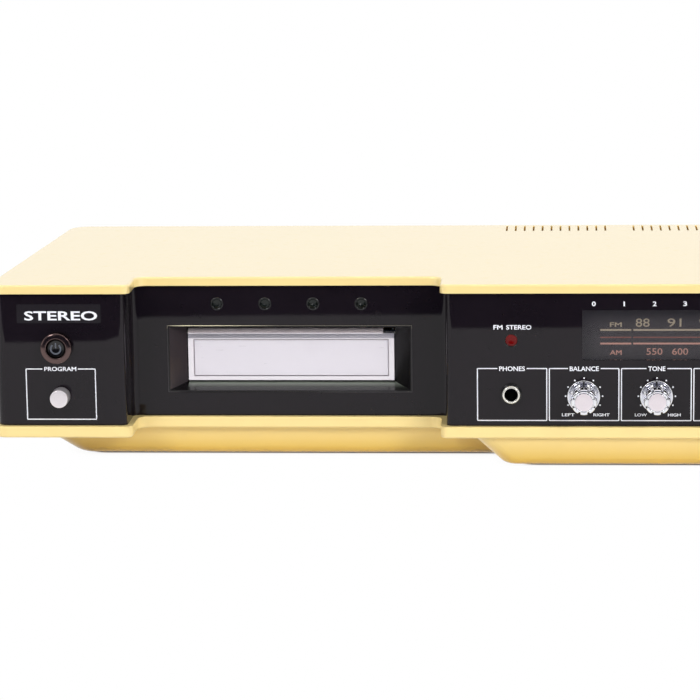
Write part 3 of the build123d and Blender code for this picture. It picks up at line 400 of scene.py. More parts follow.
# %% [markdown]
# ## Finishes for the CAD parts
# Each slot of the record gets its own finish, kept in one table, so that a part that nobody
# sees is dressed as well as the front is. The funnel gets the finish made for it above.
# %% Slots
finishes = {
    "yellow_shell": shell_yellow(),
    "black_panel": moulded(
        "panel_black",
        paint(24, 19, 24),
        0.02,
        depth=0.000001,
        cloud=0.2,
        fleck=0.06,
        Specular_IOR_Level=0.28,
    ),
    "black_plastic": moulded("plastic_black", paint(30, 30, 32), 0.45, cloud=0.15),
    "silver_door": door_silver(),
    "brushed_plate": brushed(
        "plate_brushed", paint(250, 244, 251), 0.24, depth=0.000001, metal=0.55, streaks=0.02
    ),
    "steel": brushed("steel_rolled", paint(178, 178, 172), 0.34),
    "spring_steel": brushed("wire_steel", paint(160, 160, 162), 0.25, along=(30, 30, 30)),
    "chrome": brushed("chrome_plate", paint(225, 225, 228), 0.08, size=0.02, depth=0.000001),
    "gunmetal": turned("gunmetal_ring", paint(120, 112, 110), 0.16, (-0.2539, 0, 0.0636)),
    "black_button": moulded("button_black", paint(12, 12, 13), 0.12, cloud=0.1),
    "nickel": turned("nickel_ring", paint(205, 200, 190), 0.18, (-0.0246, 0, 0.0388)),
    "shaft_steel": brushed("shaft_steel", paint(170, 170, 170), 0.28, along=(40, 1, 40)),
    "pointer_red": moulded("pointer_enamel", paint(214, 64, 36), 0.35, cloud=0.06),
    "zinc": brushed("zinc_case", paint(168, 168, 164), 0.42, along=(6, 6, 6)),
    "brass": turned("brass_turned", paint(196, 160, 88), 0.25, (-0.190, 0.067, 0), across="xy"),
    "white_nylon": moulded("nylon_white", paint(230, 227, 214), 0.5),
    "head_metal": brushed("head_face", paint(178, 176, 170), 0.18, along=(30, 30, 1)),
    "board": moulded("board_phenolic", paint(126, 86, 44), 0.55, cloud=0.2),
    "aluminium_fins": brushed("fin_aluminium", paint(188, 188, 190), 0.36, along=(40, 40, 1)),
    "transformer_iron": brushed("lamination_iron", paint(84, 78, 74), 0.5, along=(1, 1, 60), metal=0.6),
    "ferrite": moulded("ferrite_grey", paint(66, 63, 62), 0.5, cloud=0.2),
    "cord_white": moulded("cord_braid", paint(222, 216, 200), 0.7, grain=0.0006, depth=0.00008),
    "rubber": moulded("rubber_black", paint(34, 33, 33), 0.75, cloud=0.2, grain=0.0006, depth=0.00003),
    "screw_steel": brushed("screw_zinc", paint(160, 160, 156), 0.3),
    "dial_face": moulded("dial_grey", paint(122, 114, 118), 0.5, cloud=0.06, depth=0.000002),
    "lamp_lens": moulded("lens_green", paint(15, 20, 18), 0.08, cloud=0.2, Specular_IOR_Level=0.34),
    "red_lens": moulded("lens_red", paint(104, 6, 6), 0.12, cloud=0.2, Specular_IOR_Level=0.25),
    "smoked_lens": moulded("window_smoked", paint(34, 34, 40), 0.03, cloud=0.05, fleck=0.03, Alpha=0.36),
}
slot_of = {row["node"]: row["material_slot"] for row in frame["record"]["subparts"]}


def dress(piece, material):
    """Gives a piece one material."""
    piece.data.materials.clear()
    piece.data.materials.append(material)


for name, node in nodes.items():
    dress(node, finishes[slot_of[name]])
dress(nodes["slot_frame"], funnel_black())
print("slots dressed:", len(finishes))

# %% [markdown]
# ## From a formula to a piece
# A shape is an array of points and a list of faces, worked out all at once. `grid` joins a
# sheet of points with quads, `lathe` turns a profile round an axis, and `facing` stands
# what was drawn flat on the front of the player. Primitives could be scaled into place,
# but a profile has the real rims and steps in it.
# %% Shapes
def grid(points, closed=False):
    """Quads over rows and columns of points; closed joins the last column to the first."""
    rows, columns = points.shape[:2]
    i, j = np.meshgrid(np.arange(rows - 1), np.arange(columns - (not closed)), indexing="ij")
    beside = (j + 1) % columns
    corners = [i * columns + j, i * columns + beside, (i + 1) * columns + beside, (i + 1) * columns + j]
    return points.reshape(-1, 3), np.stack(corners, -1).reshape(-1, 4).tolist()


def join(*shapes):
    """Several shapes as one: the faces of each count on from the points before them."""
    points, faces, start = [], [], 0
    for some, corners in shapes:
        points.append(some)
        faces += [[corner + start for corner in face] for face in corners]
        start += len(some)
    return np.concatenate(points), faces


def lathe(profile, around=96, swell=None):
    """(r cos a, r sin a, h) for each (r, h) of the profile; swell(a, r, h) scales r round the axis."""
    radius, height = np.array(profile, float).T[:, :, None]
    angle = np.linspace(0, 2 * pi, around, endpoint=False)[None, :]
    if swell is not None:
        radius = radius * swell(angle, radius, height)
    x, y = radius * np.cos(angle), radius * np.sin(angle)
    return grid(np.stack([x, y, height + 0 * x], -1), closed=True)


def rounded(profile, radius=0.15, steps=4):
    """Cuts each inner corner of a profile by an arc: B + (1-t)^2 (A-B) + t^2 (C-B), t from 0 to 1."""
    line = np.array(profile, float)
    out = [line[0]]
    for at in range(1, len(line) - 1):
        before, corner, after = line[at - 1 : at + 2]
        ends = []
        for other in (before, after):
            reach = np.linalg.norm(other - corner)
            ends.append((other - corner) * min(radius / reach, 0.45))
        t = np.linspace(0, 1, steps + 1)[:, None]
        out.extend(corner + (1 - t) ** 2 * ends[0] + t**2 * ends[1])
    out.append(line[-1])
    return np.array(out)


def facing(shape, x, z, depth=0.0):
    """Drawn (right, up, towards the viewer) in millimetres, stood at x, z and a depth behind the panel."""
    right, up, near = shape[0].T * MM
    return np.stack([x * MM + right, PANEL_Y + depth * MM - near, z * MM + up], -1), shape[1]


print("shape tools ready")

# %% [markdown]
# ## Hanging a piece on the player
# `piece` welds a shape and turns its faces outward. Then it hangs it on the body that it rides on when a
# joint moves, and hides the CAD nodes that it stands in for.
# %% Pieces
def piece(name, body, slot, shape, material, replaces=(), sharp=40):
    """Welds and orients a shape in metres and hangs it on a body of the frame."""
    mesh = bpy.data.meshes.new(name)
    mesh.from_pydata(shape[0].tolist(), [], shape[1])
    solid = bmesh.new()
    solid.from_mesh(mesh)
    bmesh.ops.remove_doubles(solid, verts=solid.verts, dist=2e-7)
    bmesh.ops.recalc_face_normals(solid, faces=solid.faces)
    solid.to_mesh(mesh)
    solid.free()
    mesh.shade_smooth()
    mesh.set_sharp_from_angle(angle=radians(sharp))
    made = bpy.data.objects.new(name, mesh)
    bpy.context.scene.collection.objects.link(made)
    dress(made, material)
    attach(made, body)
    if replaces:
        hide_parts(*replaces)
    return made


print("pieces can be hung")

# %% [markdown]
# ## Printed lines
# The white printing is ink, a few hundredths of a millimetre proud of the panel. It could
# be painted on by a picture, but then it would blur up close. So it is a thin mesh: a line
# is a band along a path, and a box is a band along four round corners.
# %% Lines
INK = 0.04  # how far the ink stands off, in millimetres


def band(path, width, thick=INK):
    """A flat ribbon along a path of (x, z): each point moves half a width along the mean normal."""
    line = np.array(path, float)
    step = np.diff(line, axis=0)
    step /= np.linalg.norm(step, axis=1)[:, None]
    ahead, behind = np.vstack([step, step[-1]]), np.vstack([step[0], step])
    normal = np.stack([-(ahead + behind)[:, 1], (ahead + behind)[:, 0]], -1)
    normal /= (np.linalg.norm(normal, axis=1) ** 2)[:, None] / 2
    left, right = line + normal * width / 2, line - normal * width / 2
    ring = [
        np.hstack([side, np.full((len(line), 1), height)])
        for side, height in ((left, 0.0), (left, thick), (right, thick), (right, 0.0))
    ]
    points, faces = grid(np.stack(ring, 1), closed=True)
    last = len(points) - 4
    return points, faces + [[3, 2, 1, 0], [last, last + 1, last + 2, last + 3]]


def arc(centre, radius, start, end, steps=6):
    """Points on a circle, from one angle to another in degrees, measured from +x towards +z."""
    angle = np.radians(np.linspace(start, end, steps + 1))
    return np.stack([centre[0] + radius * np.cos(angle), centre[1] + radius * np.sin(angle)], -1)


def round_corners(left, right, low, high, radius):
    """Quarter circles round a box, clockwise from its top right corner."""
    left, right, low, high = left + radius, right - radius, low + radius, high - radius
    centres = [(right, high), (right, low), (left, low), (left, high)]
    return [arc(centre, radius, 90 - 90 * k, -90 * k, 3) for k, centre in enumerate(centres)]


def frame_line(left, right, low, high, gap, width=0.5):
    """A box outline with round corners, open at the top between the two ends of the gap."""
    corners = round_corners(left, right, low, high, 0.3)
    return band(np.vstack([(gap[1], high), *corners, (gap[0], high)]), width)


def box_line(left, right, low, high, seam, width, thick):
    """A closed box outline with sharp corners; its ends meet on the bottom edge at x = seam."""
    path = [(seam, low), (left, low), (left, high), (right, high), (right, low), (seam, low)]
    return band(path, width, thick)


print("ink stands off by", INK, "mm")

# %% [markdown]
# ## Printed letters
# Words are set in Blender's own plain font, made a mesh and stretched to fill a box, so that
# they fit the width that the maker gave them. Ink spreads, so the strokes are swollen: the
# curve's own offset fills the inside of an M, and moving the outline's points doesn't. A dot
# is a low turned disc.
# %% Letters
def rim_of(faces):
    """The edges that only one face has, as (from, to) in that face's direction."""
    edges = {edge for face in faces for edge in zip(face, face[1:] + face[:1])}
    return sorted((a, b) for a, b in edges if (b, a) not in edges)


def swollen(flat, faces, by):
    """Bolder strokes: an outline point moves by 2 n / max(|n|^2, 1), n the sum of its edges' normals."""
    start, end = np.array(rim_of(faces)).T
    step = flat[end] - flat[start]
    normal = np.stack([step[:, 1], -step[:, 0]], -1) / np.linalg.norm(step, axis=1)[:, None]
    both = np.zeros_like(flat)
    for ends in (start, end):
        np.add.at(both, ends, normal)
    return flat + both * 2 * by / np.maximum((both**2).sum(1), 1)[:, None]


def word(text, middle, wide, row, bold=0.018):
    """Letters stretched to fill a box centred on x = middle, between the two heights of a row."""
    curve = bpy.data.curves.new(text, "FONT")
    curve.body, curve.resolution_u = text, 3
    holder = bpy.data.objects.new(text, curve)
    mesh = bpy.data.meshes.new_from_object(holder)
    flat = np.zeros(len(mesh.vertices) * 3)
    mesh.vertices.foreach_get("co", flat)
    faces = [list(face.vertices) for face in mesh.polygons]
    flat = swollen(flat.reshape(-1, 3)[:, :2], faces, bold)
    bpy.data.objects.remove(holder)
    bpy.data.curves.remove(curve)
    bpy.data.meshes.remove(mesh)
    share = (flat - flat.min(0)) / np.ptp(flat, axis=0)
    x, z = middle + (share[:, 0] - 0.5) * wide, row[0] + share[:, 1] * (row[1] - row[0])
    return raised((np.stack([x, z], -1), faces), INK, INK)


def raised(shape, level, thick):
    """A flat shape stood at a level and closed: a copy lies thick lower, and walls join the outlines."""
    flat, faces = shape
    count = len(flat)
    top = np.hstack([flat, np.full((count, 1), level)])
    walls = [[b, a, a + count, b + count] for a, b in rim_of(faces)]
    floor = [[corner + count for corner in reversed(face)] for face in faces]
    return np.vstack([top, top - [0, 0, thick]]), faces + floor + walls


def dot(x, z, radius, thick=INK):
    """A low disc."""
    points, faces = lathe([(0, 0), (radius, 0), (radius, thick), (0, thick)], around=20)
    return points + [x, z, 0], faces


print("letters can be set")

# %% [markdown]
# ## The printing on the front
# Each control stands in a thin white box with its title let into the top line, and with
# dots round it. The boxes are one pitch apart, so a loop draws them. Everything white is
# joined to one piece, because it was printed in one pass.
# %% Front legends
KNOB_Z = 37.7
TITLE_ROW, SIDE_ROW, LAMP_ROW, MARK_ROW = (50.6, 53.0), (27.3, 28.8), (71.9, 74.2), (83.8, 86.2)
small_knobs = {"balance": 12.0, "tone": 48.6, "selector": 85.2, "volume": 121.8}
titles = {"PHONES": 13.0, "BALANCE": 14.7, "TONE": 8.6, "SELECTOR": 16.6, "VOLUME": 13.2}  # widths
ends = {
    "balance": ("LEFT", "RIGHT"),
    "tone": ("LOW", "HIGH"),
    "selector": ("AM", "TAPE"),
    "volume": ("MIN", "MAX"),
}
TITLE_X, TITLE_PITCH = -24.1, 36.4
BOX_X, BOX_PITCH, BOX_WIDE = -41.6, 36.3, 35.0
BOX_LOW, BOX_HIGH = 25.1, 51.9
PROGRAM_BOX, PROGRAM_GAP = (-272.0, -236.4, 25.4, 51.6), (-263.6, -245.3)
SIDE_GAP = 0.9  # between a title and the line that it is let into
LETTERS_WIDE = {2: 4.0, 3: 6.1, 4: 6.4, 5: 8.2}  # a short word's width by its number of letters
DOT_REACH = 9.3  # from the middle of a knob to its dots

printed = []
for k, (title, wide) in enumerate(titles.items()):
    middle, left = TITLE_X + TITLE_PITCH * k, BOX_X + BOX_PITCH * k
    gap = (middle - wide / 2 - SIDE_GAP, middle + wide / 2 + SIDE_GAP)
    printed.append(frame_line(left, left + BOX_WIDE, BOX_LOW, BOX_HIGH, gap))
    printed.append(word(title, middle, wide, TITLE_ROW))
for name, x in small_knobs.items():
    for text, middle in zip(ends[name], (x - 7.8, x + 9.0)):
        printed.append(word(text, middle, LETTERS_WIDE[len(text)], SIDE_ROW))
    turns = np.radians((-45, 0, 45) if name == "selector" else range(-120, 121, 30))
    printed += [dot(x + 0.2 + DOT_REACH * sin(t), KNOB_Z + DOT_REACH * cos(t), 0.42) for t in turns]
printed.append(frame_line(*PROGRAM_BOX, PROGRAM_GAP))
printed.append(word("PROGRAM", -254.35, 16.5, (50.5, 52.7)))
printed.append(word("FM", -31.1, 4.6, LAMP_ROW))
printed.append(word("STEREO", -20.65, 12.7, LAMP_ROW))
MARK_X, MARK_PITCH = 17.0, 15.2
MARKS_WIDE = {1: 0.7, 10: 3.2}  # the rest are as wide as the 0
for mark in range(11):
    wide = MARKS_WIDE.get(mark, 1.9)
    printed.append(word(str(mark), MARK_X + MARK_PITCH * mark, wide, MARK_ROW))
white_ink = moulded("ink_white", paint(246, 246, 255), 0.55, grain=0.0003, cloud=0.05)
piece("front_legends", "chassis", "white_nylon", facing(join(*printed), 0, 0, 0.01), white_ink)
print("printed shapes:", len(printed))

# %% [markdown]
# ## The title plate
# The title stands on a thin black plate of its own, glued to the panel. The plate is the
# outline of a box with round corners, raised by its thickness, and the title is printed on
# its face.
# %% Title plate
PLATE_THICK = 0.3
outline = np.vstack(round_corners(-275.9, -232.7, 75.4, 85.2, 0.6))
plate = raised((outline, [list(range(len(outline)))]), PLATE_THICK, PLATE_THICK)
plate_black = moulded("plate_black", paint(34, 31, 35), 0.16, cloud=0.1, Specular_IOR_Level=0.3)
piece("title_plate", "chassis", "black_plastic", facing(plate, 0, 0), plate_black)
title = word("STEREO", -253.25, 37.5, (76.8, 81.6), bold=0.02)
piece("title", "chassis", "white_nylon", facing(title, 0, 0, -PLATE_THICK), white_ink)
print("title plate", round(float(np.ptp(outline[:, 0])), 1), "mm wide")

# %% [markdown]
# ## The dial
# The scale is printed on the plate behind the smoked window: plain megahertz over three rules and kilohertz
# under them. The FM stations are evenly spaced. The AM stations crowd towards the top of the band, as a
# tuning capacitor makes them, so their places are a small table. The inks are given a little painted glow,
# which brightens them behind the smoked window.
# %% Dial scale
FM_START, FM_STEP = 41.7, 5.32  # place of 88 MHz, and millimetres per megahertz
am_places = {550: 47.7, 600: 60.6, 700: 80.6, 800: 96.2, 1000: 118.7, 1200: 134.8, 1400: 147.4, 1600: 157.9}
DIAL_DEPTH = 7.99  # the printed plate's face behind the panel's
FINE = 0.004  # the numbers' strokes are hardly widened
FM_ROW, AM_ROW = (71.8, 76.1), (57.4, 60.8)
RULE_START, RULE_BREAK, RULE_END = 20.4, (36.0, 37.0), 166
BEIGE_RULE, THIN_RULE, SALMON_RULE = 70.2, 66.4, 63.2  # heights

beige, salmon = [word("FM", 28.2, 6.0, (71.8, 74.1))], [word("AM", 28.2, 6.0, (57.4, 59.8))]
for station in (88, 91, 94, 97, 100, 103, 106, 108):
    x, wide = FM_START + FM_STEP * (station - 88), 7.0 if station < 100 else 9.6
    beige.append(word(str(station), x, wide, FM_ROW, FINE))
for station, x in am_places.items():
    salmon.append(word(str(station), x, 8.0 if station < 1000 else 9.6, AM_ROW, FINE))


def rule(height, width):
    """A line across the dial, broken once near its left end."""
    stretches = ((RULE_START, RULE_BREAK[0]), (RULE_BREAK[1], RULE_END))
    return join(*[band([(start, height), (end, height)], width) for start, end in stretches])


beige.append(rule(BEIGE_RULE, 0.9))
salmon.append(rule(SALMON_RULE, 0.9))


def lit_ink(name, colour, strength):
    """Ink with a little painted glow of its own colour, which brightens it behind the smoked window."""
    return moulded(name, colour, 0.6, cloud=0.05, Emission_Color=colour, Emission_Strength=strength)


# painted glow: each ink gives off a little light of its own colour
beige_ink = lit_ink("ink_beige", paint(236, 218, 190), 0.42)
salmon_ink = lit_ink("ink_salmon", paint(250, 190, 172), 0.56)
rust_ink = lit_ink("ink_rust", paint(190, 123, 111), 0.36)
piece("dial_scale_beige", "chassis", "cord_white", facing(join(*beige), 0, 0, DIAL_DEPTH), beige_ink)
piece("dial_scale_salmon", "chassis", "pointer_red", facing(join(*salmon), 0, 0, DIAL_DEPTH), salmon_ink)
thin = facing(rule(THIN_RULE, 0.6), 0, 0, DIAL_DEPTH)
piece("dial_rule_thin", "chassis", "pointer_red", thin, rust_ink)
print("stations on the dial:", len(beige) + len(salmon) - 4)

# %% [markdown]
# ## Knobs
# A knob is one turned profile: bore, dished skirt with a rolled rim, tall body and a spun
# disc. Its flutes could be cut with booleans, but they come out cleaner as a formula:
# outside the disc and above its foot the radius is scaled by lobes,
# 1 - 0.02 u^2 - n s((u - 0.68) / 0.2), where u runs from 0 at a lobe's middle to 1 at the
# notch beside it, n is the notch's share and s is the smooth step 3t^2 - 2t^3.
# %% Knobs
def smooth(t):
    """3t^2 - 2t^3 between 0 and 1, flat outside."""
    t = np.clip(t, 0, 1)
    return t * t * (3 - 2 * t)


def lobed(count, foot, disc, notch):
    """The swell of a fluted body, which fades in above its foot and outside its disc."""

    def swell(angle, radius, height):
        turn = (angle - pi / 2) * count / (2 * pi)
        u = np.abs(turn - np.round(turn)) * 2
        fade = smooth((height - foot) / 0.9) * smooth((radius - disc - 0.35) / 0.3)
        return 1 - fade * (0.02 * u**2 + notch * smooth((u - 0.68) / 0.2))

    return swell


def knob_shape(skirt, body, disc, lobes, reach, notch, shaft=3.02, around=320):
    """Profile from the bore round the skirt and up the body to the middle of the disc."""
    outline = [(0, reach - 6), (shaft, reach - 6), (shaft, 0.6), (skirt - 0.5, 0.6), (skirt, 0.9)]
    outline += [(skirt, 1.5), (skirt - 0.35, 1.9), (skirt - 0.9, 1.75), (skirt - 1.4, 1.45)]
    outline += [(body + 0.5, 1.6), (body + 0.2, 3.0), (body, 4.0)]
    outline += [(body, h) for h in np.linspace(5.0, reach - 1.6, 5)]
    outline += [(body - 0.1, reach - 0.9), (body - 0.5, reach - 0.45), (disc + 0.35, reach - 0.4)]
    outline += [(disc + 0.2, reach - 0.7), (disc, reach - 0.7), (disc - 0.1, reach - 0.2)]
    outline += [(disc - 0.4, reach), (disc * 0.5, reach - 0.03), (0, reach - 0.06)]
    return lathe(rounded(outline, 0.25, 3), around, lobed(lobes, 2.6, disc, notch))


def knob_chrome(name, x, z, spun_radius, front):
    """Polished plate, spun into rings within spun_radius and beyond front, both in millimetres."""
    f = Finish(name)
    reach = f.length(f.place((x * MM, 0, z * MM), stretch=(1, 0, 1)))
    (depth,) = f.parts(f.place(), "Y")
    spun = (reach < spun_radius * MM) * (depth < PANEL_Y - front * MM)
    ring = f.rings(reach, 0.0002)
    haze = f.cloud(0.004, detail=3.0)
    plate = f.mix(haze * 0.4, paint(246, 246, 250), paint(206, 206, 212))
    return f.skin(
        Base_Color=f.mix(spun, plate, f.mix(ring, paint(255, 246, 250), paint(228, 216, 222))),
        Metallic=1.0 - spun * 0.45,
        Roughness=0.07 + haze * 0.05 + spun * 0.2,
        Normal=f.bump(spun * ring, 0.00003),
    )


def pointer_mark(x, z, skirt):
    """A dark wedge on the skirt at twelve o'clock."""
    wedge = np.array([(-0.75, skirt - 0.3), (0, skirt - 2.0), (0.75, skirt - 0.3)])
    return facing(raised((wedge, [[0, 1, 2]]), 2.0, 0.6), x, z)


def fit_knob(name, x, z, skirt, body, disc, lobes, reach, notch, rim=0.05, around=320):
    """The chromed knob in place of its CAD node, with its mark; rim is how much of the disc's edge
    stays polished."""
    shape = facing(knob_shape(skirt, body, disc, lobes, reach, notch, around=around), x, z)
    plate = knob_chrome(name + "_plate", x, z, disc - rim, reach - 0.6)
    piece(name + "_dial_knob", name + "_control", "chrome", shape, plate, [name + "_knob"])
    piece(name + "_mark", name + "_control", "black_button", pointer_mark(x, z, skirt), mark_ink)


mark_ink = moulded("mark_black", paint(20, 20, 22), 0.4, cloud=0.1)
for name, x in small_knobs.items():
    fit_knob(name, x, KNOB_Z, skirt=8.35, body=6.6, disc=4.5, lobes=8, reach=16.5, notch=0.15)
TUNING = (231.0, 56.7)
tuning_size = {"skirt": 22.5, "body": 19.5, "disc": 16.5, "rim": 0.1, "reach": 18.0}
fit_knob("tuning", *TUNING, **tuning_size, lobes=20, notch=0.05, around=480)
print("knobs:", len(small_knobs) + 1)

# %% [markdown]
# ## Push buttons
# The power button sits in a gunmetal bezel with a shallow dome, which mirrors the dark room
# above and the table below, and it carries an open ring with a bar. The program button is a
# spun cap. Both are turned on a lathe, so each is one profile, given as (radius, height).
# %% Buttons
POWER = (-255.6, 62.9)  # x and z of its axis, in millimetres
PROGRAM = (-254.3, 37.4)


def axis_at(x, z):
    """A point in metres on the axis of what stands on the front at x and z."""
    return (x * MM, 0, z * MM)


CROWN = 5.9  # radius of the bezel's shallow crown
crown = [(5.3 + CROWN * sin(t), 5.0 - CROWN * (1 - cos(t))) for t in np.radians(range(0, 27, 4))]
bezel = [(5.0, -4.5), (5.0, 4.5), (5.1, 4.85), *crown, (7.9, 4.2), (7.9, 0.0), (7.0, 0.0), (7.0, -4.5)]
shape = facing(lathe(rounded([*bezel, bezel[0]], 0.2), 128), *POWER)
gun = turned("gunmetal_bezel", paint(102, 84, 82), 0.08, axis_at(*POWER), metal=0.95, depth=0.0000005)
piece("power_ring", "chassis", "gunmetal", shape, gun, ["power_bezel"])

symbol = join(band(arc((0, 0), 2.55, 130, 410, 24), 0.8), band([(0, 0.4), (0, 3.1)], 0.7))
blue_ink = moulded("ink_blue", paint(84, 88, 98), 0.5, cloud=0.05)
piece("power_symbol", "power_button", "black_button", facing(symbol, *POWER, -4.72), blue_ink)

cap = [(0, 7.96), (4.0, 8.0), (4.45, 7.8), (4.65, 7.35), (4.65, -3.0), (5.85, -3.0)]
cap += [(5.85, -4.5), (2.5, -4.5), (2.5, -22.0), (0, -22.0)]
spun = turned("cap_spun", paint(250, 240, 243), 0.24, axis_at(*PROGRAM), metal=0.7)
shape = facing(lathe(rounded(cap, 0.35), 96), *PROGRAM)
piece("program_cap", "program_button", "brushed_plate", shape, spun, ["program_button"])
print("buttons placed")

# %% [markdown]
# ## Lamps
# Four small lamps over the slot tell the program, and a red one the stereo signal. Each is a
# jewel with flat facets in a dark ring. The facets could be cut by planes, but a profile
# that is turned with only eight sides and shaded flat has them already.
# %% Lamps
def lens(x, z, depth, radius, barrel=2.5, sides=8):
    """A jewel with flat facets over a thinner barrel, turned by half a side."""
    outline = [(0, 0.15), (0.3, 0.5), (0.62, 0.75), (0.9, 0.2), (1, 0.0)]
    crown = [(radius * reach, proud) for reach, proud in outline]
    points, faces = lathe([*crown, (barrel, 0.0), (barrel, -6.0), (0, -6.0)], sides)
    turn = Matrix.Rotation(pi / sides, 3, "Z")
    return facing((points @ np.array(turn), faces), x, z, depth)


def collar(x, z, depth, inner, outer, proud):
    """A rolled ring that hides the edge of a lens."""
    outline = [(inner, 0), (inner, proud * 0.6), ((inner + outer) / 2, proud), (outer, proud * 0.4)]
    return facing(lathe(rounded([*outline, (outer, 0), (inner, 0)], 0.2), 64), x, z, depth)


BAY_X, BAY_DEPTH = -139.0, 25.0  # middle of the stepped-back bay, and its face behind the panel's
LAMPS = [(BAY_X + 24.83 * (k - 1.5), 80.9, BAY_DEPTH) for k in range(4)]
STEREO = (-24.4, 66.4, 0)
green, red = finishes["lamp_lens"], finishes["red_lens"]
jewels = join(*[lens(*lamp, radius=2.6) for lamp in LAMPS])
piece("program_jewels", "chassis", "lamp_lens", jewels, green, ["program_lamps"], sharp=5)
rings = [collar(*lamp, inner=2.4, outer=3.4, proud=0.5) for lamp in LAMPS]
rings.append(collar(*STEREO, inner=3.0, outer=3.7, proud=0.4))
piece("lamp_collars", "chassis", "black_plastic", join(*rings), finishes["black_button"])
piece("stereo_jewel", "chassis", "red_lens", lens(*STEREO, radius=3.2), red, ["stereo_lamp"], sharp=5)
print("lamps placed:", len(LAMPS) + 1)

# %% [markdown]
# ## The headphone socket
# A quarter-inch socket shows a bright rolled collar in a dark nut. The collar is a second
# piece, because it is another metal.
# %% Socket
SOCKET = (-24.5, 38.8)
socket = [(0, -17.0), (3.1, -17.0), (3.1, 2.2), (4.5, 2.2), (4.5, 1.2), (5.4, 1.0), (5.5, 0.0), (4.9, 0.0)]
socket += [(4.9, -3.0), (7.0, -3.0), (7.0, -25.9), (0, -25.9)]
shape = facing(lathe(rounded(socket, 0.3), 96), *SOCKET)
piece("phones_socket", "chassis", "nickel", shape, finishes["black_button"], ["phones_jack"])
collar_line = [(3.15, 1.4), (3.2, 2.8), (3.6, 3.4), (4.2, 3.3), (4.7, 2.6), (4.75, 1.4), (3.15, 1.4)]
shape = facing(lathe(rounded(collar_line, 0.3), 96), *SOCKET)
bright = turned("nickel_collar", paint(255, 250, 240), 0.16, axis_at(*SOCKET))
piece("phones_collar", "chassis", "nickel", shape, bright)
print("socket placed")

# %% [markdown]
# ## The fine lines round the door
# The mouth of the slot has a thin dark line round it, with a painted highlight that turns it pale towards
# its top left corner, and the door's inset plate ends in a narrow groove whose dark is painted shade. A
# bevel or a cut that small would be lost between two samples of a render, so both are ribbons round a box,
# a few tenths of a millimetre wide.
# %% Slot edge and groove
SLOT_LEFT, SLOT_RIGHT, SLOT_LOW, SLOT_HIGH = -202.1, -75.9, 34.7, 69.5


def worn_edge():
    """Dark grey; above the slot's middle a painted highlight mixes it with bone white by a ramp from left
    to right.
    """
    f = Finish("edge_worn")
    across, height = f.parts(f.place((SLOT_LEFT * MM, 0, 0.068)), "XZ")
    # painted highlight along the top line, palest near the top left corner
    wear_and_highlight = f.ramp(across * 8, (0.0, 0.1), (0.05, 1.0), (0.2, 0.9), (0.45, 0.12), (1.0, 0.08))
    painted_top_highlight = (height > 0) * wear_and_highlight
    grey = f.mix(f.cloud(0.004), paint(44, 40, 43), paint(60, 56, 59))
    return f.skin(
        Base_Color=f.mix(painted_top_highlight, grey, paint(236, 226, 190)),
        Roughness=0.35 + painted_top_highlight * 0.1,
    )


edge = box_line(SLOT_LEFT, SLOT_RIGHT, SLOT_LOW, SLOT_HIGH, SLOT_LEFT + 20, 0.35, 0.1)
piece("slot_edge", "chassis", "black_plastic", facing(edge, 0, 0, 24.6), worn_edge())

groove = box_line(-189.6, -88.4, 41.4, 60.6, BAY_X, 0.28, 0.03)
# painted shade: the groove's dark grey stands in for the shade inside the cut
groove_grey = moulded("groove_grey", paint(112, 104, 108), 0.5, cloud=0.15)
piece("inlay_groove", "door", "silver_door", facing(groove, 0, 0, 33.32), groove_grey)
print("lines round the door placed")

# %% [markdown]
# ## The studio
# The player is lit by a large soft box overhead and two smaller ones in front. The world
# gives a weak cool light to fill the shadows, while what the camera and polished surfaces
# see of it is plain white. The front lamps are hidden from reflections, because the glare
# of a large lamp would wash out the lid's coat.
# %% Studio lamps and surround
def softbox(name, place, aim, wide, tall, power):
    """A rectangular lamp at place, turned to face aim."""
    lamp = bpy.data.lights.new(name, "AREA")
    lamp.shape, lamp.size, lamp.size_y, lamp.energy = "RECTANGLE", wide, tall, power
    holder = bpy.data.objects.new(name, lamp)
    holder.location = place
    holder.rotation_euler = (Vector(aim) - Vector(place)).to_track_quat("-Z", "Y").to_euler()
    bpy.context.scene.collection.objects.link(holder)
    return holder


softbox("overhead", (0.1, 0.5, 1.7), (0, 0.05, 0.05), 2.6, 1.6, 9.5)
front_lamps = (
    softbox("front_left", (-1.4, -2.2, 1.5), (-0.05, -0.1, 0.05), 0.9, 0.9, 25.5),
    softbox("front_right", (1.5, -1.9, 1.4), (0.05, -0.1, 0.05), 0.9, 0.9, 33),
)
for side in front_lamps:
    side.visible_glossy = False

world = bpy.data.worlds.new("surround")
world.use_nodes = True
bpy.context.scene.world = world
tree = world.node_tree
tree.nodes.clear()
kinds = ("LightPath", "Math", "Background", "Background", "MixShader", "OutputWorld")
seen, either, soft, white, pick, out = (tree.nodes.new("ShaderNode" + kind) for kind in kinds)
either.operation = "MAXIMUM"
for sky, colour, strength in ((soft, (0.92, 0.95, 1.0, 1), 0.42), (white, (1, 1, 1, 1), 1.0)):
    sky.inputs["Color"].default_value = colour
    sky.inputs["Strength"].default_value = strength
tree.links.new(seen.outputs["Is Camera Ray"], either.inputs[0])
tree.links.new(seen.outputs["Is Glossy Ray"], either.inputs[1])
tree.links.new(either.outputs[0], pick.inputs[0])
tree.links.new(soft.outputs[0], pick.inputs[1])
tree.links.new(white.outputs[0], pick.inputs[2])
tree.links.new(pick.outputs[0], out.inputs[0])
print("lamps and surround ready")

# %% [markdown]
# ## The table
# The table has to be white behind the player and still carry its shadow. More light would
# burn out the yellow, so the table glows where the camera sees it, except close round the
# hull, where its own shadow is left: the share of glow grows with the distance from the
# hull's outline, which is that of two rounded boxes, the hull and its bulge.
# %% Table
def flat_sheet(name, outline, level):
    """A stage sheet: one face through (x, y) points at a level."""
    mesh = bpy.data.meshes.new(name)
    mesh.from_pydata([(x, y, level) for x, y in outline], [], [list(range(len(outline)))])
    sheet = bpy.data.objects.new(name, mesh)
    bpy.context.scene.collection.objects.link(sheet)
    return sheet


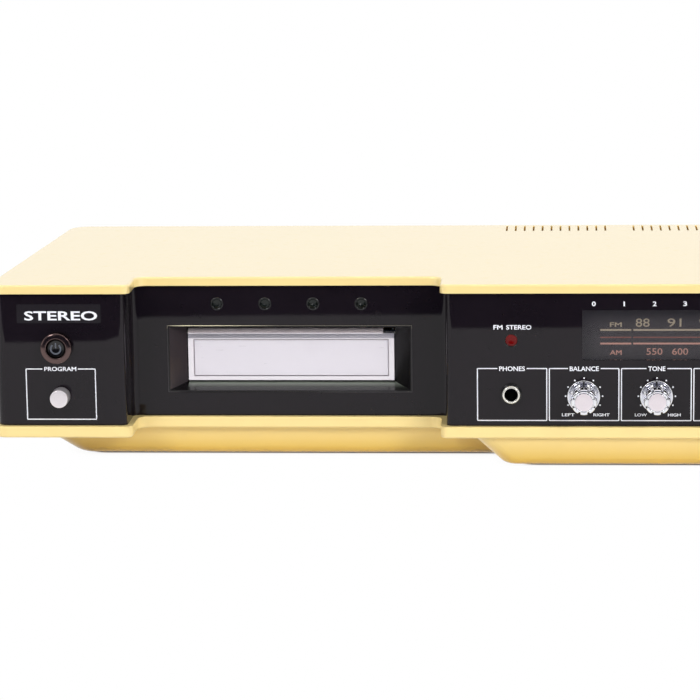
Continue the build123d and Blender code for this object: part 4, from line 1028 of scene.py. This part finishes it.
def oblong(across, along):
    """The corners of a rectangle about the origin, from its half widths."""
    return [(-across, -along), (across, -along), (across, along), (-across, along)]


CORNER = 0.012  # radius of the hull's corners in plan
HULL, BULGE = (-0.248, 0.243, -0.0555, 0.076), (-0.023, 0.243, -0.0815, 0.0)


def off_box(f, x_low, x_high, y_low, y_high):
    """Distance on the table from a rectangle with round corners of radius c: the length of
    (|x - xm| - xh + c, |y - ym| - yh + c), each above 0, less c."""
    centre = ((x_low + x_high) / 2, (y_low + y_high) / 2, 0)
    half = ((x_high - x_low) / 2 - CORNER, (y_high - y_low) / 2 - CORNER, 1)
    size = f.node("VectorMath", {"operation": "ABSOLUTE"}, {0: f.place(centre)}, give="Vector")
    past = f.node("VectorMath", {"operation": "SUBTRACT"}, {0: size, 1: half}, give="Vector")
    only = f.node("VectorMath", {"operation": "MAXIMUM"}, {0: past, 1: (0, 0, 0)}, give="Vector")
    return f.length(only) - CORNER


def table_white():
    """Cloth where light falls on it, and glow where the camera looks: share = ramp(50 distance)."""
    f = Finish("table_white")
    near = f.sum_of("MINIMUM", off_box(f, *HULL), off_box(f, *BULGE))
    share = f.ramp(near * 50, (0.0, 0.1), (0.05, 0.75), (0.15, 0.95), (0.6, 1.0))
    pale = f.mix(f.cloud(0.4), (0.88, 0.88, 0.88, 1), (0.94, 0.94, 0.94, 1))
    cloth = f.node("BsdfDiffuse", {}, {"Color": pale})
    glow = f.node("Emission", {}, {"Color": (1, 1, 1, 1), "Strength": 1.0})
    seen = [f.node("LightPath", give=f"Is {kind} Ray") for kind in ("Camera", "Glossy")]
    return f.close(f.node("MixShader", {}, {0: f.sum_of("MAXIMUM", *seen) * share, 1: cloth, 2: glow}))


dress(flat_sheet("table", oblong(12.0, 12.0), 0), table_white())
print("table laid")

# %% [markdown]
# ## The dark room and the bright wall
# A glossy surface is only as good as what it mirrors. The panel shows the white table up
# to its front edge and a dark room beyond, the lid shows a bright, slightly warm wall
# behind, and chrome needs a few hard glints. These are cards that only reflections see,
# so they light nothing. A small bright card stands in the place of each front lamp.
# %% Cards
def glowing(name, first, second, strength):
    """A card's own light, drifting between two colours over half a metre."""
    f = Finish(name)
    return f.glow(f.mix(f.cloud(0.5), first, second), strength)


def upright(sheet, y, z):
    """Stands a sheet up, its own origin y from the middle and z above the table."""
    sheet.matrix_world = Matrix.Translation((0, y, z)) @ Matrix.Rotation(radians(90), 4, "X")


# where the white table ends, as the panel mirrors it
table_edge = [(-3, -0.42), (-0.34, -0.435), (-0.285, -0.44), (-0.272, -0.474), (-0.19, -0.48)]
table_edge += [(-0.08, -0.482), (0.1, -0.488), (3, -0.49)]
floor_dark = flat_sheet("room_floor", [*table_edge, (3, -4), (-3, -4)], 0.0004)
wall_dark = flat_sheet("room_wall", [(-4, -4), (4, -4), (4, -1.2), (-4, -1.2)], 0)
upright(wall_dark, -4, 4)
dark = glowing("room_dark", paint(34, 38, 64), paint(44, 46, 74), 1.0)
glow_wall = flat_sheet("glow_wall", oblong(5, 2), 0)
upright(glow_wall, 4, 2)
pale = glowing("room_glow", (1, 0.97, 0.92, 1), (1, 0.98, 0.94, 1), 1.04)
glint = glowing("lamp_glint", (1, 1, 1, 1), (1, 1, 1, 1), 9.0)
glints = [flat_sheet("glint_" + lamp.name, oblong(0.33, 0.33), 0) for lamp in front_lamps]
for card, lamp in zip(glints, front_lamps):
    card.location, card.rotation_euler = lamp.location, lamp.rotation_euler
finish_of = {floor_dark: dark, wall_dark: dark, glow_wall: pale, **dict.fromkeys(glints, glint)}
for card, finish in finish_of.items():
    dress(card, finish)
    card.visible_camera = card.visible_diffuse = card.visible_transmission = card.visible_shadow = False
print("studio ready")
